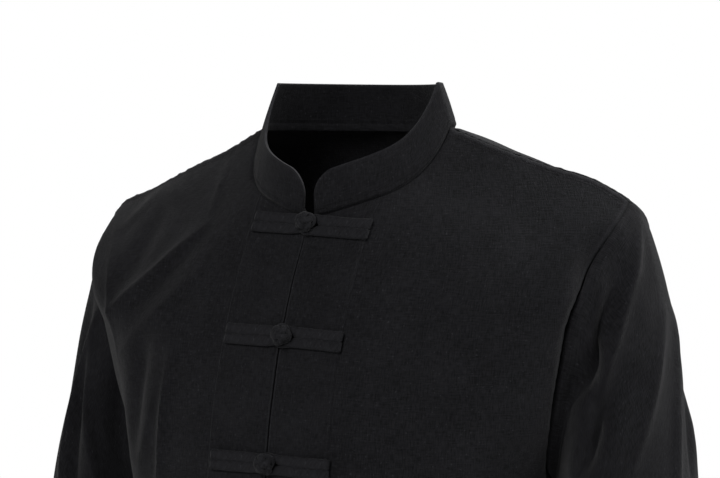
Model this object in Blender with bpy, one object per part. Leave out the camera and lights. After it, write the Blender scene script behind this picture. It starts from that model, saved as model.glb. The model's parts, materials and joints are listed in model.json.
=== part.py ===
"""A tai chi jacket as it is worn: black cloth, stand collar, set-in sleeves, seven frog closures.

Metres, +Z up. The jacket's front faces -Y and the wearer's left is +X. The origin is the middle of
the neck opening, at the height where the shoulder seams meet the collar.

Every panel is a wall of cloth. Its outer face is read from a smooth surface through a short table of
sections, and its inner face is that surface moved in. At a seam the two walls share one mitre plane
and stop just short of it on either side.
"""

from collections import namedtuple

import bpy
import numpy as np
from mathutils import Matrix, Vector

# Cloth thicknesses and the clearances that keep neighbouring pieces apart.
CLOTH = 0.0014
COLLAR_CLOTH = 0.0022
BAND_CLOTH = 0.0012
SEAM_GAP = 0.0003
LAY_GAP = 0.0007
FRONT_GAP = 0.0010

# Sizes of the trims.
BAND_WIDTH = 0.054
UNDERLAP_HALF_WIDTH = 0.022
COLLAR_HEIGHT = 0.0355
COLLAR_CORNER = 0.0175
COLLAR_FRONT_GAP = 0.0045
COLLAR_LEAN_SIDE = 0.012
COLLAR_LEAN_BACK = 0.006
FROG_COUNT = 7
FROG_SPACING = 0.0965
FIRST_FROG_DROP = 0.0110
FROG_SHIFT = 0.003
STRAP_HEIGHT = 0.0168
STRAP_THICKNESS = 0.0022
STRAP_GROOVE = 0.0006
STRAP_LENGTH = 0.053
KNOT_RADIUS = 0.0084
KNOT_FLATNESS = 0.86
LOOP_RADIUS = 0.0085
LOOP_CORD = 0.0034

# How finely the surfaces are divided.
YOKE_ROWS = 6
ARMHOLE_ROWS = 14
SKIRT_ROWS = 10
FRONT_COLUMNS = 10
BACK_HALF_COLUMNS = 10
CAP_ROWS = 8
SLEEVE_ROWS = 13
COLLAR_ROWS = 3

Section = namedtuple(
    "Section",
    "name right_x left_x side_y right_z left_z front_y front_z back_y back_z squareness vee",
)
BODY = (
    Section("neck seam", 0.086, 0.086, 0.000, 0.000, 0.002, -0.080, -0.0705, 0.062, -0.0015, 2.0, 0.060),
    Section("collar bone", 0.125, 0.125, 0.004, -0.0200, -0.013, -0.0935, -0.095, 0.079, -0.013, 2.1, 0.040),
    Section("mid shoulder", 0.165, 0.165, 0.010, -0.0365, -0.0265, -0.107, -0.118, 0.092, -0.036, 2.2, 0.015),
    Section("outer shoulder", 0.205, 0.210, 0.017, -0.0540, -0.0405, -0.1185, -0.142, 0.102, -0.061, 2.3, 0.0),
    Section("shoulder tip", 0.2414, 0.2414, 0.0227, -0.0705, -0.0645, -0.128, -0.166, 0.109, -0.088, 2.45, 0.0),
    Section("upper armhole", 0.228, 0.240, 0.022, -0.120, -0.120, -0.1385, -0.200, 0.116, -0.130, 2.5, 0.0),
    Section("mid armhole", 0.217, 0.228, 0.021, -0.185, -0.185, -0.1475, -0.240, 0.120, -0.185, 2.5, 0.0),
    Section("low armhole", 0.204, 0.206, 0.020, -0.240, -0.240, -0.1525, -0.275, 0.119, -0.240, 2.5, 0.0),
    Section("underarm", 0.194, 0.187, 0.018, -0.285, -0.285, -0.1545, -0.305, 0.116, -0.290, 2.5, 0.0),
    Section("chest", 0.190, 0.181, 0.012, -0.335, -0.335, -0.155, -0.345, 0.110, -0.340, 2.5, 0.0),
    Section("waist", 0.187, 0.182, 0.000, -0.430, -0.430, -0.149, -0.435, 0.100, -0.432, 2.45, 0.0),
    Section("hip", 0.199, 0.197, -0.006, -0.560, -0.560, -0.145, -0.563, 0.107, -0.562, 2.4, 0.0),
    Section("hem", 0.214, 0.212, -0.010, -0.735, -0.735, -0.147, -0.735, 0.118, -0.735, 2.4, 0.0),
)
TIP, UNDERARM = 4, 8
# How far each armhole is cut into the front, and how full its curve is above its middle.
ARMHOLE_FRONT_DEPTH = {1: 0.081, -1: 0.070}
ARMHOLE_FULLNESS = {1: 0.27, -1: 0.50}
ARMHOLE_BACK_DEPTH = 0.078

ArmSection = namedtuple("ArmSection", "name x y z half_width half_depth")
LEFT_ARM = (
    ArmSection("biceps", 0.2390, 0.016, -0.310, 0.0490, 0.0790),
    ArmSection("above elbow", 0.2500, 0.022, -0.370, 0.0485, 0.0740),
    ArmSection("elbow", 0.2600, 0.024, -0.430, 0.0480, 0.0690),
    ArmSection("forearm", 0.2680, 0.002, -0.540, 0.0450, 0.0600),
    ArmSection("cuff", 0.2720, -0.034, -0.660, 0.0420, 0.0520),
)
RIGHT_ARM = (
    ArmSection("biceps", -0.2455, 0.018, -0.310, 0.0470, 0.0780),
    ArmSection("above elbow", -0.2600, 0.024, -0.370, 0.0480, 0.0740),
    ArmSection("elbow", -0.2720, 0.026, -0.430, 0.0480, 0.0690),
    ArmSection("forearm", -0.2800, 0.002, -0.540, 0.0450, 0.0600),
    ArmSection("cuff", -0.2800, -0.036, -0.660, 0.0420, 0.0520),
)
# Where each side of the sleeve sets off from the armhole, for a wearer's left sleeve.
CAP_TOP = {1: (0.42, 0.00, -0.91), -1: (0.58, 0.00, -0.81)}
CAP_FRONT = (0.50, -0.15, -0.85)
CAP_BACK = (0.80, 0.30, -0.52)
CAP_UNDER = (0.22, 0.00, -0.97)
CAP_PULL = 0.27

# Soft ridges (+) and troughs (-). On the body a fold runs between two points of the front or back
# view; on a sleeve it runs between two places given by the turn about the arm (0 outside,
# 90 front, 180 against the body, 270 back) and the height. Bow is its sag off the straight line.
BodyFold = namedtuple("BodyFold", "name face x0 z0 x1 z1 bow width height")
BODY_FOLDS = (
    BodyFold("right shoulder drape", "front", -0.165, -0.040, -0.212, -0.100, -0.003, 0.012, 0.0035),
    BodyFold("right neck drape", "front", -0.090, -0.020, -0.108, -0.095, -0.003, 0.009, 0.0030),
    BodyFold("right chest ridge", "front", -0.098, -0.086, -0.205, -0.168, -0.006, 0.013, 0.0055),
    BodyFold("right hollow above it", "front", -0.110, -0.060, -0.205, -0.140, -0.006, 0.013, -0.0045),
    BodyFold("right lower ridge", "front", -0.075, -0.090, -0.150, -0.205, -0.008, 0.012, 0.0045),
    BodyFold("right side fold", "front", -0.098, -0.155, -0.106, -0.330, 0.004, 0.012, 0.0055),
    BodyFold("right side hollow", "front", -0.125, -0.165, -0.135, -0.310, 0.003, 0.013, -0.0055),
    BodyFold("left armhole roll", "front", 0.215, -0.095, 0.190, -0.300, 0.010, 0.012, 0.0040),
    BodyFold("left waist fold", "front", 0.120, -0.340, 0.135, -0.620, 0.006, 0.020, 0.0050),
    BodyFold("right waist fold", "front", -0.100, -0.420, -0.120, -0.690, -0.006, 0.018, 0.0050),
    BodyFold("back left blade fold", "back", 0.150, -0.120, 0.105, -0.420, 0.012, 0.018, 0.0060),
    BodyFold("back right blade fold", "back", -0.150, -0.110, -0.110, -0.400, -0.012, 0.018, 0.0055),
    BodyFold("back waist fold left", "back", 0.070, -0.400, 0.085, -0.700, 0.004, 0.020, 0.0060),
    BodyFold("back waist fold right", "back", -0.060, -0.430, -0.080, -0.710, -0.004, 0.020, 0.0060),
)
SleeveFold = namedtuple("SleeveFold", "name turn0 z0 turn1 z1 bow width height")
LEFT_SLEEVE_FOLDS = (
    SleeveFold("outer slack", -38, -0.068, -44, -0.235, 0.003, 0.022, -0.0065),
    SleeveFold("tip ridge", 12, -0.080, 105, -0.290, 0.006, 0.013, 0.0055),
    SleeveFold("front hollow", 60, -0.130, 130, -0.280, 0.004, 0.016, -0.0060),
    SleeveFold("outer ridge", 28, -0.170, 62, -0.360, 0.004, 0.012, 0.0040),
    SleeveFold("elbow front fold", 70, -0.400, 150, -0.445, 0.004, 0.012, -0.0070),
    SleeveFold("elbow upper roll", 60, -0.370, 150, -0.410, 0.004, 0.013, 0.0050),
    SleeveFold("back ridge", 300, -0.160, 250, -0.380, -0.006, 0.014, 0.0050),
    SleeveFold("forearm fold", 20, -0.470, 95, -0.590, 0.004, 0.014, 0.0045),
)
RIGHT_SLEEVE_FOLDS = (
    SleeveFold("front lobe", 50, -0.120, 78, -0.330, 0.004, 0.015, 0.0060),
    SleeveFold("outer gutter", 30, -0.125, 44, -0.350, 0.003, 0.017, -0.0140),
    SleeveFold("outer lobe", -8, -0.200, 12, -0.420, 0.003, 0.016, 0.0060),
    SleeveFold("front hollow", 95, -0.140, 125, -0.300, 0.004, 0.016, -0.0050),
    SleeveFold("elbow front fold", 65, -0.405, 145, -0.450, 0.004, 0.012, -0.0070),
    SleeveFold("back ridge", 300, -0.150, 250, -0.370, -0.006, 0.014, 0.0050),
    SleeveFold("forearm fold", 25, -0.480, 100, -0.600, 0.004, 0.014, 0.0045),
)
SLEEVE_GIRTH_RADIUS = 0.066

COTTON = (0.018, 0.018, 0.020, 1.0)
COTTON_ROUGHNESS = 0.92


def unit(vectors):
    """Vectors of length one, along the last axis."""
    length = np.linalg.norm(vectors, axis=-1, keepdims=True)
    return vectors / np.maximum(length, 1e-12)


def spline(knots, values, at):
    """A smooth curve through rows of values at uneven knots, read at any places."""
    step = np.diff(knots)
    slope = np.diff(values, axis=0) / step[:, None]
    inner = slope[:-1] * step[1:, None] + slope[1:] * step[:-1, None]
    tangent = np.vstack([slope[:1], inner / (step[:-1] + step[1:])[:, None], slope[-1:]])
    at = np.asarray(at, float)
    k = np.clip(np.searchsorted(knots, at, side="right") - 1, 0, len(step) - 1)
    u = ((at - knots[k]) / step[k])[..., None]
    h = step[k][..., None]
    rise = (2 * u**3 - 3 * u**2 + 1) * values[k] + (3 * u**2 - 2 * u**3) * values[k + 1]
    return rise + h * ((u**3 - 2 * u**2 + u) * tangent[k] + (u**3 - u**2) * tangent[k + 1])


def creases(folds, across, down, reach=1.0):
    """The height that a table of folds adds at places of a flat view: across and down, in metres."""
    total = np.zeros(np.broadcast(across, down).shape)
    for x0, z0, x1, z1, bow, width, height in folds:
        run = np.array([x1 - x0, z1 - z0])
        length = np.hypot(*run)
        along = ((across - x0) * run[0] + (down - z0) * run[1]) / length**2
        swell = np.clip(1 - (2 * along - 1) ** 2, 0, 1)
        aside = ((across - x0) * run[1] - (down - z0) * run[0]) / length - bow * swell
        total += height * reach * swell * np.exp(-((aside / width) ** 2))
    return total


def body_table():
    """The section table as numbers, with knots spaced by how far apart the sections lie."""
    values = np.array([row[1:] for row in BODY])
    side = values[:, [0, 2, 3]]
    front = values[:, [5, 6]]
    apart = np.linalg.norm(np.diff(side, axis=0), axis=1) + np.linalg.norm(np.diff(front, axis=0), axis=1)
    return np.concatenate([[0], np.cumsum(apart / 2)]), values


BODY_KNOTS, BODY_VALUES = body_table()
T_TIP, T_UNDERARM, T_HEM = BODY_KNOTS[TIP], BODY_KNOTS[UNDERARM], BODY_KNOTS[-1]


def body_form(phi, t):
    """The smooth body before its folds. phi turns from the front centre, + to the wearer's left."""
    row = np.moveaxis(spline(BODY_KNOTS, BODY_VALUES, t), -1, 0)
    right_x, left_x, side_y, right_z, left_z, front_y, front_z, back_y, back_z, squareness, vee = row
    sine, cosine = np.sin(phi), np.cos(phi)
    power = 2 / squareness
    reach = np.abs(cosine) ** power
    end_y = np.where(cosine >= 0, front_y, back_y)
    end_z = np.where(cosine >= 0, front_z, back_z)
    side_z = np.where(phi >= 0, left_z, right_z)
    x = np.where(phi >= 0, left_x, right_x) * np.sign(sine) * np.abs(sine) ** power
    # The neck seam runs straighter to the front centre than an ellipse does.
    drop = reach - np.where(cosine >= 0, vee * np.sin(4 * np.abs(phi)), 0)
    return np.stack([x, side_y + (end_y - side_y) * reach, side_z + (end_z - side_z) * drop], -1)


def normals_of(surface, phi, t, outward):
    """Unit normals of a surface by small steps, turned to the side that outward points to."""
    small = 1e-3
    low, high = np.maximum(t - small, 0), np.minimum(t + small, T_HEM)
    across = surface(phi + small, t) - surface(phi - small, t)
    down = surface(phi, high) - surface(phi, low)
    normal = unit(np.cross(across, down))
    flip = np.sign((normal * outward).sum(-1, keepdims=True))
    return normal * np.where(flip == 0, 1, flip)


def from_axis(points, phi):
    """A rough outward direction on the body: away from its upright axis, and up on the shoulders."""
    flat = np.stack([np.sin(phi), -np.cos(phi), np.full(np.shape(phi), 0.35)], -1)
    return flat + 0 * points


def body_surface(phi, t):
    """The body's outer face with its folds."""
    phi, t = np.broadcast_arrays(np.asarray(phi, float), np.asarray(t, float))
    base = body_form(phi, t)
    normal = normals_of(body_form, phi, t, from_axis(base, phi))
    height = np.zeros(phi.shape)
    for face, chosen in (("front", np.cos(phi) > 0), ("back", np.cos(phi) <= 0)):
        folds = [fold[2:] for fold in BODY_FOLDS if fold.face == face]
        height += np.where(chosen, creases(folds, base[..., 0], base[..., 2]), 0)
    # Folds fade out towards the seams, where the cloth is held.
    hold = np.abs(np.cos(phi)) ** 0.5
    return base + normal * (height * np.clip(2.2 * hold, 0, 1))[..., None]


def body_normal(phi, t):
    phi, t = np.broadcast_arrays(np.asarray(phi, float), np.asarray(t, float))
    return normals_of(body_surface, phi, t, from_axis(body_form(phi, t), phi))


def ring_lengths(t, start, end, steps=181):
    """Turns from start to end on the ring t, with the distance along the cloth to each."""
    turns = np.linspace(start, end, steps)
    points = body_surface(turns, np.full(steps, t))
    return turns, np.concatenate([[0], np.cumsum(np.linalg.norm(np.diff(points, axis=0), axis=1))])


def armhole_share(t, fullness):
    """How wide the armhole is open at t, from 0 at the tip and underarm to 1 at its middle."""
    middle = (2 * t - T_TIP - T_UNDERARM) / (T_UNDERARM - T_TIP)
    return max(0.0, 1 - middle**2) ** (fullness if middle < 0 else 0.5)


def panel_rows():
    """The t of each row of cloth, bunched at the armhole's two ends so that its curve is round."""
    yoke = np.linspace(0, T_TIP, YOKE_ROWS + 1)[:-1]
    turn = np.linspace(0, np.pi, ARMHOLE_ROWS + 1)
    armhole = T_TIP + (T_UNDERARM - T_TIP) * (1 - np.cos(turn)) / 2
    skirt = np.linspace(T_UNDERARM, T_HEM, SKIRT_ROWS + 1)[1:]
    return np.concatenate([yoke, armhole, skirt])


ROWS = panel_rows()
ARMHOLE = slice(YOKE_ROWS, YOKE_ROWS + ARMHOLE_ROWS + 1)


def half_ring(side, t, is_front):
    """Turns of one panel's half ring from its centre line to its outer seam, and their distances."""
    centre, seam = (0.0, np.pi / 2) if is_front else (np.pi, np.pi / 2)
    turns, lengths = ring_lengths(t, side * centre, side * seam)
    depth = ARMHOLE_FRONT_DEPTH[side] if is_front else ARMHOLE_BACK_DEPTH
    open_by = depth * armhole_share(t, ARMHOLE_FULLNESS[side] if is_front else 0.5)
    if T_TIP < t < T_UNDERARM:
        return turns, lengths, lengths[-1] - open_by
    return turns, lengths, lengths[-1] - SEAM_GAP / 2


def panel_turns(side, is_front, first, even):
    """For each row, the turn of every column: first the fixed distances, then even steps out."""
    table = []
    for t in ROWS:
        turns, lengths, end = half_ring(side, t, is_front)
        spread = np.linspace(first[-1], end, even + 1)[1:]
        table.append(np.interp(np.concatenate([first, spread]), lengths, turns))
    return np.array(table)


FRONT_FIRST = np.array([FRONT_GAP / 2, 0.011, UNDERLAP_HALF_WIDTH, 0.038, BAND_WIDTH])


def grid_normals(grid, outward):
    """Unit normals of a grid whose columns close into a ring."""
    across = np.roll(grid, -1, axis=1) - np.roll(grid, 1, axis=1)
    down = np.gradient(grid, axis=0)
    normal = unit(np.cross(across, down))
    flip = np.sign((normal * outward).sum(-1, keepdims=True))
    return normal * np.where(flip == 0, 1, flip)


def make_node(name, points, faces, material, smooth=True):
    """One closed named solid."""
    mesh = bpy.data.meshes.new(name)
    mesh.from_pydata([tuple(p) for p in points], [], [tuple(f) for f in faces])
    mesh.validate()
    if smooth:
        mesh.shade_smooth()
        mesh.set_sharp_from_angle(angle=np.radians(50))
    mesh.materials.append(material)
    node = bpy.data.objects.new(name, mesh)
    bpy.context.scene.collection.objects.link(node)
    return node


def wall(name, outer, inner, material, closed=False, flip=False):
    """A closed wall between two grids of the same shape: outer face, inner face and rims."""
    rows, columns = outer.shape[:2]
    count = rows * columns
    points = np.vstack([outer.reshape(-1, 3), inner.reshape(-1, 3)])
    around = columns if closed else columns - 1
    faces = []
    for r in range(rows - 1):
        for c in range(around):
            d = (c + 1) % columns
            a, b, e, f = r * columns + c, r * columns + d, (r + 1) * columns + d, (r + 1) * columns + c
            faces.append((a, b, e, f))
            faces.append((count + f, count + e, count + b, count + a))
    for c in range(around):
        d = (c + 1) % columns
        top, bottom = (c, d), ((rows - 1) * columns + c, (rows - 1) * columns + d)
        faces.append((top[1], top[0], count + top[0], count + top[1]))
        faces.append((bottom[0], bottom[1], count + bottom[1], count + bottom[0]))
    if not closed:
        for r in range(rows - 1):
            left, right = (r * columns, (r + 1) * columns), ((r + 1) * columns - 1, (r + 2) * columns - 1)
            faces.append((left[0], left[1], count + left[1], count + left[0]))
            faces.append((right[1], right[0], count + right[0], count + right[1]))
    if flip:
        faces = [tuple(reversed(face)) for face in faces]
    return make_node(name, points, faces, material)


def seam_frame(points, normal_a, normal_b, towards_b):
    """At a seam between walls a and b: the direction into the cloth, and the one from a to b."""
    tangent = unit(np.gradient(points, axis=0))
    inward = -unit(normal_a + normal_b)
    across = unit(np.cross(inward, tangent))
    sign = np.sign((across * towards_b).sum(-1, keepdims=True))
    return inward, across * np.where(sign == 0, 1, sign)


def armhole_loop(side):
    """The seam line of one armhole, from the tip by the front to the underarm and up the back."""
    rows = ROWS[ARMHOLE]
    line, normal = [], []
    for is_front, order in ((True, rows), (False, rows[-2:0:-1])):
        for t in order:
            turns, lengths, end = half_ring(side, t, is_front)
            if t in (rows[0], rows[-1]):
                end = lengths[-1]
            turn = np.interp(end, lengths, turns)
            line.append(body_surface(turn, t))
            normal.append(body_normal(turn, t))
    return np.array(line), np.array(normal)


def sleeve_turns():
    """The turn about the arm of each column: front of the armhole first, then its back."""
    return np.linspace(0, 2 * np.pi, 2 * ARMHOLE_ROWS, endpoint=False)


def arm_rings(side, arm):
    """The planar sections of one sleeve from the biceps to the cuff, and the arm's direction there."""
    values = np.array([row[1:] for row in arm])
    knots = np.concatenate([[0], np.cumsum(np.linalg.norm(np.diff(values[:, :3], axis=0), axis=1))])
    rows = spline(knots, values, np.linspace(0, knots[-1], SLEEVE_ROWS + 1))
    centre = rows[:, :3]
    along = unit(np.gradient(centre, axis=0))
    turns = sleeve_turns()
    out_axis = unit(np.array([side, 0, 0]) - along * (along[:, :1] * side))
    front_axis = unit(np.cross(along, out_axis)) * side
    front_axis *= np.sign(-front_axis[:, 1:2])
    out = out_axis[:, None] * (rows[:, None, 3:4] * np.cos(turns)[None, :, None])
    front = front_axis[:, None] * (rows[:, None, 4:5] * np.sin(turns)[None, :, None])
    return centre[:, None] + out + front, along


def sleeve_form(side, arm):
    """The sleeve's outer face before its folds: the cap from the armhole, then the arm's rings."""
    loop, _ = armhole_loop(side)
    rings, along = arm_rings(side, arm)
    turns = sleeve_turns()
    top = np.clip(np.cos(turns), 0, 1)[:, None] ** 2
    under = np.clip(-np.cos(turns), 0, 1)[:, None] ** 2
    fore = np.clip(np.sin(turns), 0, 1)[:, None] ** 2
    aft = np.clip(-np.sin(turns), 0, 1)[:, None] ** 2
    leave = top * CAP_TOP[side] + under * CAP_UNDER + fore * CAP_FRONT + aft * CAP_BACK
    leave = unit(leave * np.array([side, 1, 1]))
    chord = np.linalg.norm(rings[0] - loop, axis=1, keepdims=True)
    first = loop + leave * chord * CAP_PULL
    last = rings[0] - along[0] * chord * CAP_PULL
    u = np.linspace(0, 1, CAP_ROWS + 1)[:-1, None, None]
    cap = (1 - u) ** 3 * loop + 3 * u * (1 - u) ** 2 * first + 3 * u**2 * (1 - u) * last + u**3 * rings[0]
    return np.vstack([cap, rings]), leave


def sleeve(name, side, arm, folds, material):
    form, leave = sleeve_form(side, arm)
    middle = form.mean(axis=1, keepdims=True)
    outward = form - middle
    normal = grid_normals(form, outward)
    turns = np.degrees(sleeve_turns())
    turns = np.where(turns > 180, turns - 360, turns)
    rows = [(np.radians(f.turn0) * SLEEVE_GIRTH_RADIUS, f.z0, np.radians(f.turn1) * SLEEVE_GIRTH_RADIUS)
            + f[4:] for f in folds]
    height = np.zeros(form.shape[:2])
    for around in (-360, 0, 360):
        across = np.radians(turns + around)[None, :] * SLEEVE_GIRTH_RADIUS
        height += creases(rows, across, form[..., 2])
    held = np.clip(np.arange(len(form)) / 3, 0, 1)[:, None]
    outer = form + normal * (height * held)[..., None]
    normal = grid_normals(outer, outward)
    inner = outer - normal * CLOTH
    loop, body_side = armhole_loop(side)
    inward, across = closed_seam_frame(loop, body_side, normal[0], leave)
    outer[0] = loop + across * SEAM_GAP / 2
    inner[0] = outer[0] + inward * CLOTH
    wall(name, outer, inner, material, closed=True, flip=side < 0)
    return inward, across


def closed_seam_frame(loop, normal_a, normal_b, towards_b):
    """seam_frame for a seam that closes on itself."""
    wrap = [-1, *range(len(loop)), 0]
    inward, across = seam_frame(loop[wrap], normal_a[wrap], normal_b[wrap], towards_b[wrap])
    return inward[1:-1], across[1:-1]


def armhole_seam(side, arm):
    """The direction into the cloth and the one towards the sleeve, all round one armhole."""
    form, leave = sleeve_form(side, arm)
    normal = grid_normals(form, form - form.mean(axis=1, keepdims=True))
    loop, body_side = armhole_loop(side)
    inward, across = closed_seam_frame(loop, body_side, normal[0], leave)
    return loop, inward, across


def collar_turns():
    """Turns round the neck from the left front end by the back to the right front end."""
    halves = []
    for side in (1, -1):
        turns, lengths = ring_lengths(0.0, 0.0, side * np.pi / 2)
        corner = COLLAR_FRONT_GAP + COLLAR_CORNER * (1 - np.cos(np.radians([0, 30, 60])))
        even = np.linspace(FRONT_FIRST[-1], lengths[-1], FRONT_COLUMNS + 1)[1:]
        along = np.concatenate([corner, FRONT_FIRST[2:], even])
        to_seam = np.interp(along, lengths, turns)
        turns, lengths = ring_lengths(0.0, side * np.pi / 2, side * np.pi)
        to_back = np.interp(np.linspace(0, lengths[-1], BACK_HALF_COLUMNS + 1)[1:], lengths, turns)
        halves.append(np.concatenate([to_seam, to_back]))
    return np.concatenate([halves[0], halves[1][-2::-1]])


def collar_heights(count):
    """How high the collar stands at each column, with its two front corners rounded."""
    corner = COLLAR_HEIGHT - COLLAR_CORNER + COLLAR_CORNER * np.sin(np.radians([0, 30, 60]))
    return np.concatenate([corner, np.full(count - 6, COLLAR_HEIGHT), corner[::-1]])


def collar_form(turns, heights):
    """The collar's outer face: up from the neck seam, leaning in at the sides and back."""
    base = body_surface(turns, np.zeros(len(turns)))
    inward = unit(-base * np.array([1, 1, 0]))
    lean = COLLAR_LEAN_SIDE * np.abs(np.sin(turns)) ** 1.5
    lean += COLLAR_LEAN_BACK * np.clip(-np.cos(turns), 0, 1) ** 2
    share = np.linspace(0, 1, COLLAR_ROWS + 1)[::-1, None, None]
    tall = share * heights[None, :, None]
    return base + np.array([0, 0, 1]) * tall + inward * lean[None, :, None] * tall / COLLAR_HEIGHT


def neck_seam(turns):
    """The neck seam's points with the direction into the cloth and the one up to the collar."""
    form = collar_form(turns, np.full(len(turns), COLLAR_HEIGHT))
    up = unit(form[0] - form[-1])
    points = form[-1]
    around = body_surface(turns + 1e-3, np.zeros(len(turns))) - body_surface(turns - 1e-3, np.zeros(len(turns)))
    body_side = body_normal(turns, np.zeros(len(turns)))
    collar_side = unit(np.cross(around, up))
    collar_side *= np.sign((collar_side * points).sum(-1, keepdims=True))
    inward = -unit(body_side + collar_side)
    across = unit(np.cross(inward, around))
    across *= np.sign((across * up).sum(-1, keepdims=True))
    return points, inward, across, collar_side


def collar(material):
    turns = collar_turns()
    outer = collar_form(turns, collar_heights(len(turns)))
    points, inward, across, outside = neck_seam(turns)
    inner = outer - outside[None] * COLLAR_CLOTH
    outer[-1] = points + across * SEAM_GAP / 2
    inner[-1] = outer[-1] + inward * COLLAR_CLOTH
    wall("collar", outer, inner, material, flip=True)


def side_seam(side):
    """One side's shoulder and side seam: its points, the way into the cloth and the way to the back."""
    turn, step = side * np.pi / 2, side * 0.03
    points = body_surface(turn, ROWS)
    to_back = body_surface(turn + step, ROWS) - points
    inward, across = seam_frame(points, body_normal(turn - step, ROWS), body_normal(turn + step, ROWS), to_back)
    return points, inward, across


def body_panel(turns, seams, arms):
    """Outer and inner grids of a body panel, mitred at the neck, shoulder, side and armhole seams.

    seams lists (column, side, way): way is 1 if the panel lies in front of that seam, -1 behind it.
    """
    t = np.broadcast_to(ROWS[:, None], turns.shape)
    outer = body_surface(turns, t)
    inward = -body_normal(turns, t)
    sewn = [*range(ARMHOLE.start + 1), *range(ARMHOLE.stop - 1, len(ROWS))]
    for column, side, way in seams:
        points, into, across = side_seam(side)
        outer[sewn, column] = (points - way * across * SEAM_GAP / 2)[sewn]
        inward[sewn, column] = into[sewn]
    ends = [column for column, _, _ in seams]
    neck = turns[0].copy()
    neck[ends] = [side * np.pi / 2 for _, side, _ in seams]
    _, into, across, _ = neck_seam(neck)
    outer[0] -= across * SEAM_GAP / 2
    corners = unit(inward[0, ends] + into[ends])
    inward[0] = into
    inward[0, ends] = corners
    edge = np.arange(ARMHOLE.start, ARMHOLE.stop)
    for column, side, way in seams:
        loop, into, across = armhole_seam(side, arms[side])
        keep = np.arange(ARMHOLE_ROWS + 1) * way % len(loop)
        outer[edge[1:-1], column] = loop[keep[1:-1]]
        outer[edge, column] -= across[keep] * SEAM_GAP / 2
        corners = unit(inward[edge[[0, -1]], column] + into[keep[[0, -1]]])
        inward[edge, column] = into[keep]
        inward[edge[[0, -1]], column] = corners
    return outer, outer + inward * CLOTH


def front(name, side, arms, material):
    turns = panel_turns(side, True, FRONT_FIRST, FRONT_COLUMNS)
    outer, inner = body_panel(turns, ((-1, side, 1),), arms)
    wall(name, outer, inner, material, flip=side > 0)
    return turns[:, : len(FRONT_FIRST)]


def back(arms, material):
    centre = np.array([0.0])
    left = panel_turns(1, False, centre, BACK_HALF_COLUMNS)
    right = panel_turns(-1, False, centre, BACK_HALF_COLUMNS)
    turns = np.concatenate([right[:, ::-1] % (2 * np.pi), left[:, 1:]], axis=1)
    signed = np.where(turns > np.pi, turns - 2 * np.pi, turns)
    signed[:, BACK_HALF_COLUMNS] = np.pi
    outer, inner = body_panel(signed, ((0, -1, -1), (-1, 1, -1)), arms)
    wall("back", outer, inner, material, flip=False)


def laid_on(turns, rows, low, high):
    """Two grids that follow the body at two heights off its outer face."""
    t = np.broadcast_to(rows[:, None], turns.shape)
    base, normal = body_surface(turns, t), body_normal(turns, t)
    return base + normal * high, base + normal * low


def band(name, side, turns, material):
    """The placket band down one front edge, laid on the front and ending at neck seam and hem."""
    outer, inner = laid_on(turns, ROWS, LAY_GAP, LAY_GAP + BAND_CLOTH)
    for grid in (outer, inner):
        grid[0] += (grid[1] - grid[0]) * (0.0015 / ROWS[1])
    wall(name, outer, inner, material, flip=side > 0)


def underlap(left_turns, right_turns, material):
    """The hidden strip behind the front edges, laid against the inside of both fronts."""
    columns = np.concatenate([right_turns[:, 2:3], 0 * right_turns[:, :1], left_turns[:, 2:3]], axis=1)
    rows = ROWS.copy()
    rows[0] += 0.004
    outer, inner = laid_on(columns, rows, -CLOTH - LAY_GAP - BAND_CLOTH, -CLOTH - LAY_GAP)
    wall("underlap", outer, inner, material, flip=True)


def front_place(x, z):
    """The turn and t of the place on the front that shows at x and z from straight ahead."""
    x, z = np.broadcast_arrays(np.asarray(x, float), np.asarray(z, float))
    phi, t = x / 0.2, np.interp(-z, -BODY_VALUES[:, 6], BODY_KNOTS)
    small = 1e-4
    for _ in range(12):
        here = body_surface(phi, t)
        by_phi = (body_surface(phi + small, t) - here) / small
        by_t = (body_surface(phi, t + small) - here) / small
        wrong_x, wrong_z = here[..., 0] - x, here[..., 2] - z
        size = by_phi[..., 0] * by_t[..., 2] - by_t[..., 0] * by_phi[..., 2]
        phi = phi - (wrong_x * by_t[..., 2] - wrong_z * by_t[..., 0]) / size
        t = t - (wrong_z * by_phi[..., 0] - wrong_x * by_phi[..., 2]) / size
    return phi, t


def on_band(x, z, height):
    """Points over the bands at x and z of the front view, height above the bands' face."""
    phi, t = front_place(x, z)
    lift = 2 * LAY_GAP + BAND_CLOTH + np.asarray(height)
    return body_surface(phi, t) + body_normal(phi, t) * lift[..., None]


def swept_bar(name, path, widths, material):
    """A flat bar with a rounded top that follows a path of the front view."""
    along = unit(np.gradient(path, axis=0))
    aside = np.stack([along[:, 1], -along[:, 0]], -1)
    profile = ((-0.50, 0.0), (-0.50, 0.45), (-0.30, 1.0), (0.30, 1.0), (0.50, 0.45), (0.50, 0.0))
    rings = []
    for offset, height in profile:
        place = path + aside * (offset * widths)[:, None]
        rings.append(on_band(place[:, 0], place[:, 1], np.full(len(path), height * STRAP_THICKNESS)))
    rings = np.stack(rings, 1)
    stations, sides = rings.shape[:2]
    faces = [tuple(range(sides))[::-1], tuple((stations - 1) * sides + k for k in range(sides))]
    for s in range(stations - 1):
        for k in range(sides):
            m = (k + 1) % sides
            faces.append((s * sides + k, s * sides + m, (s + 1) * sides + m, (s + 1) * sides + k))
    return make_node(name, rings.reshape(-1, 3), faces, material)


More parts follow.
